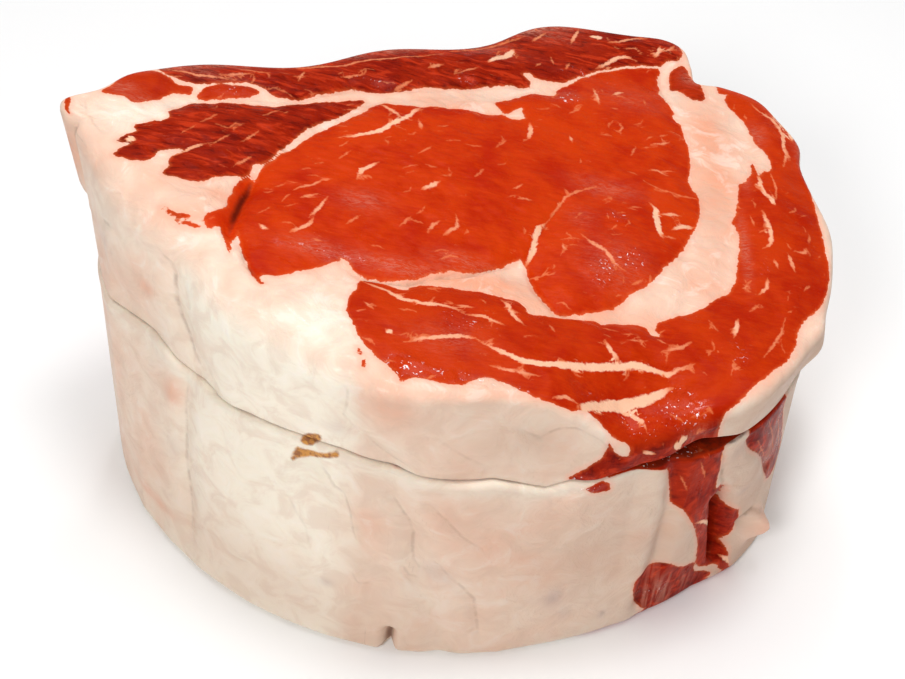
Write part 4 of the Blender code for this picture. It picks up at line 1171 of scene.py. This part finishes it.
def meat_material(name, groups):
    """The one finish of a steak: lean, fat, juice, painted glints, sheen and shade, and all that the fields
    of its mesh place on it.
    """
    material = bpy.data.materials.new(name)
    material.use_nodes = True
    w = Wiring(material.node_tree)
    shader = w.tree.nodes["Principled BSDF"]
    metres = w.add("ShaderNodeTexCoord").outputs["Object"]
    place = w.add("ShaderNodeVectorMath", {0: metres, "Scale": 1.0 / MM}, operation="SCALE").outputs[0]

    def placed(kind, **inputs):
        made = w.add("ShaderNodeGroup", node_tree=groups[kind])
        for label, value in inputs.items():
            w.feed(made.inputs[label.replace("_", " ")], value)
        return made.outputs

    marbling = placed("fine_marbling", Place=place, Amount=0.5, Thread=0.06)
    grain = placed("lean_grain", Place=place, Bundle=1.3, Side=w.field("side"))
    fat = placed("fat_surface", Place=place)
    juice = placed("wet_film_and_glints", Place=place, Wetness=w.field("wet_and_glints"))

    waver = w.math("SUBTRACT", w.noise(place, 0.55, 4.0, 0.6), 0.5)
    lean_depth = w.math("MULTIPLY_ADD", waver, 1.6, w.field("lean"))
    lean_mask = w.ramp(lean_depth, -0.14, 0.14)
    swerve = w.math("MULTIPLY", w.math("SUBTRACT", w.noise(place, 0.9, 3.0, 0.6), 0.5), 1.1)
    thinning = w.math("MULTIPLY", waver, 1.3)
    off_middle = w.math("ABSOLUTE", w.math("ADD", w.field("streak_offset"), swerve))
    streak_edge = w.math("SUBTRACT", w.math("ADD", w.field("streak_half"), thinning), off_middle)
    streak_weight = w.ramp(w.field("streak_half"), 0.15, 0.6, 0.5, 0.95)
    streak = w.math("MULTIPLY", w.ramp(streak_edge, -0.3, 0.3), streak_weight)
    threads = w.math("MULTIPLY", marbling["Mask"], w.ramp(lean_depth, 0.3, 1.4, 0.0, 0.3))
    fatty = w.math("MAXIMUM", streak, threads)
    lean_share = w.math("MULTIPLY", lean_mask, w.math("SUBTRACT", 1.0, fatty))

    lean = lean_colour(w, place, grain, lean_depth)
    surface = w.mix(lean_share, fat_colour(w, place, fat, waver, lean_depth, lean_mask), lean)
    surface = with_painted_shade(w, place, surface, swerve, waver, lean_share)
    # Painted glints: near-white dots in the base colour on the beads of juice
    surface = w.tinted(juice["Painted Glints"], surface, PAINTED_GLINT_WHITE)
    w.feed(shader.inputs["Base Color"], surface)

    dry = w.mix(lean_share, (0.46, 0.46, 0.46, 1.0), (0.34, 0.34, 0.34, 1.0))
    w.feed(shader.inputs["Roughness"], w.math("ADD", dry, juice["Roughness Change"]))
    plain_coat = w.ramp(lean_share, 0.0, 1.0, 0.12, 0.0)
    w.feed(shader.inputs["Coat Weight"], w.math("MULTIPLY_ADD", juice["Wet Share"], 0.25, plain_coat))
    shader.inputs["Specular IOR Level"].default_value = 0.04
    shader.inputs["Coat Roughness"].default_value = 0.12
    shader.inputs["Subsurface Weight"].default_value = 0.1
    shader.inputs["Subsurface Radius"].default_value = (1.0, 0.3, 0.15)
    shader.inputs["Subsurface Scale"].default_value = 0.003

    lean_height = w.math("MULTIPLY", grain["Height"], 0.4)
    fat_height = w.math("MULTIPLY_ADD", fat["Height"], 1.1, -0.2)
    plain_lean = w.ramp(w.field("lean"), -0.4, 0.4)
    height = w.math("MULTIPLY_ADD", plain_lean, w.math("SUBTRACT", lean_height, fat_height), fat_height)
    height = w.math("MULTIPLY_ADD", juice["Bead Height"], 0.7, height)
    bump = w.add("ShaderNodeBump", {"Height": height, "Strength": 0.7, "Distance": 1.0 * MM})
    w.feed(shader.inputs["Normal"], bump.outputs["Normal"])
    return material


def floor_material():
    """Plain matt white."""
    material = bpy.data.materials.new("pale_floor")
    material.use_nodes = True
    w = Wiring(material.node_tree)
    shader = w.tree.nodes["Principled BSDF"]
    place = w.add("ShaderNodeTexCoord").outputs["Object"]
    tint = w.mix(w.noise(place, 6.0), screen_colour("FDFDFD"), screen_colour("FFFFFF"))
    w.feed(shader.inputs["Base Color"], tint)
    shader.inputs["Roughness"].default_value = 0.85
    return material


def build_floor():
    bm = bmesh.new()
    bmesh.ops.create_grid(bm, x_segments=4, y_segments=4, size=3.0)
    bmesh.ops.translate(bm, verts=bm.verts, vec=(0.0, 0.0, -0.2 * MM))
    mesh = bpy.data.meshes.new("pale_floor")
    bm.to_mesh(mesh)
    bm.free()
    mesh.materials.append(floor_material())
    floor = bpy.data.objects.new("pale_floor", mesh)
    bpy.context.scene.collection.objects.link(floor)


def aimed(place, aim, roll_degrees=0.0):
    """World matrix of a lamp or camera at place that looks at aim."""
    ahead = (Vector(aim) - Vector(place)).normalized()
    turn = ahead.to_track_quat("-Z", "Y").to_matrix().to_4x4()
    return Matrix.Translation(Vector(place)) @ turn @ Matrix.Rotation(np.radians(roll_degrees), 4, "Z")


def build_camera():
    camera = bpy.data.cameras.new("camera")
    camera.lens = CAMERA_LENS
    camera.sensor_fit = "HORIZONTAL"
    camera.sensor_width = SENSOR_WIDTH
    camera.clip_start = 0.01
    camera.dof.use_dof = False
    holder = bpy.data.objects.new("camera", camera)
    bpy.context.scene.collection.objects.link(holder)
    place, aim = (tuple(value * MM for value in point) for point in (CAMERA_PLACE, CAMERA_AIM))
    holder.matrix_world = aimed(place, aim, CAMERA_ROLL)
    bpy.context.scene.camera = holder


def soft_lamp(name, place, aim, size, power):
    lamp = bpy.data.lights.new(name, "AREA")
    lamp.shape = "DISK"
    lamp.size = size
    lamp.energy = power
    lamp.color = (1.0, 1.0, 1.0)
    holder = bpy.data.objects.new(name, lamp)
    bpy.context.scene.collection.objects.link(holder)
    holder.matrix_world = aimed(place, aim)


def build_light():
    for name, place, size, power in LAMPS:
        soft_lamp(name, place, LAMP_AIM, size, power)
    world = bpy.data.worlds.new("studio")
    world.use_nodes = True
    world.node_tree.nodes["Background"].inputs["Color"].default_value = (1.0, 1.0, 1.0, 1.0)
    world.node_tree.nodes["Background"].inputs["Strength"].default_value = STUDIO_STRENGTH
    bpy.context.scene.world = world
    bpy.context.scene.view_settings.view_transform = "Standard"


def main():
    groups = {
        "fine_marbling": fine_marbling_group(), "lean_grain": lean_grain_group(),
        "fat_surface": fat_surface_group(), "wet_film_and_glints": wet_film_and_glints_group(),
    }
    upper = build_upper_steak(meat_material("upper_steak_meat", groups))
    lower = build_lower_steak(meat_material("lower_steak_meat", groups))
    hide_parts("upper_steak")
    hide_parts("lower_steak")
    build_floor()
    build_camera()
    build_light()


main()
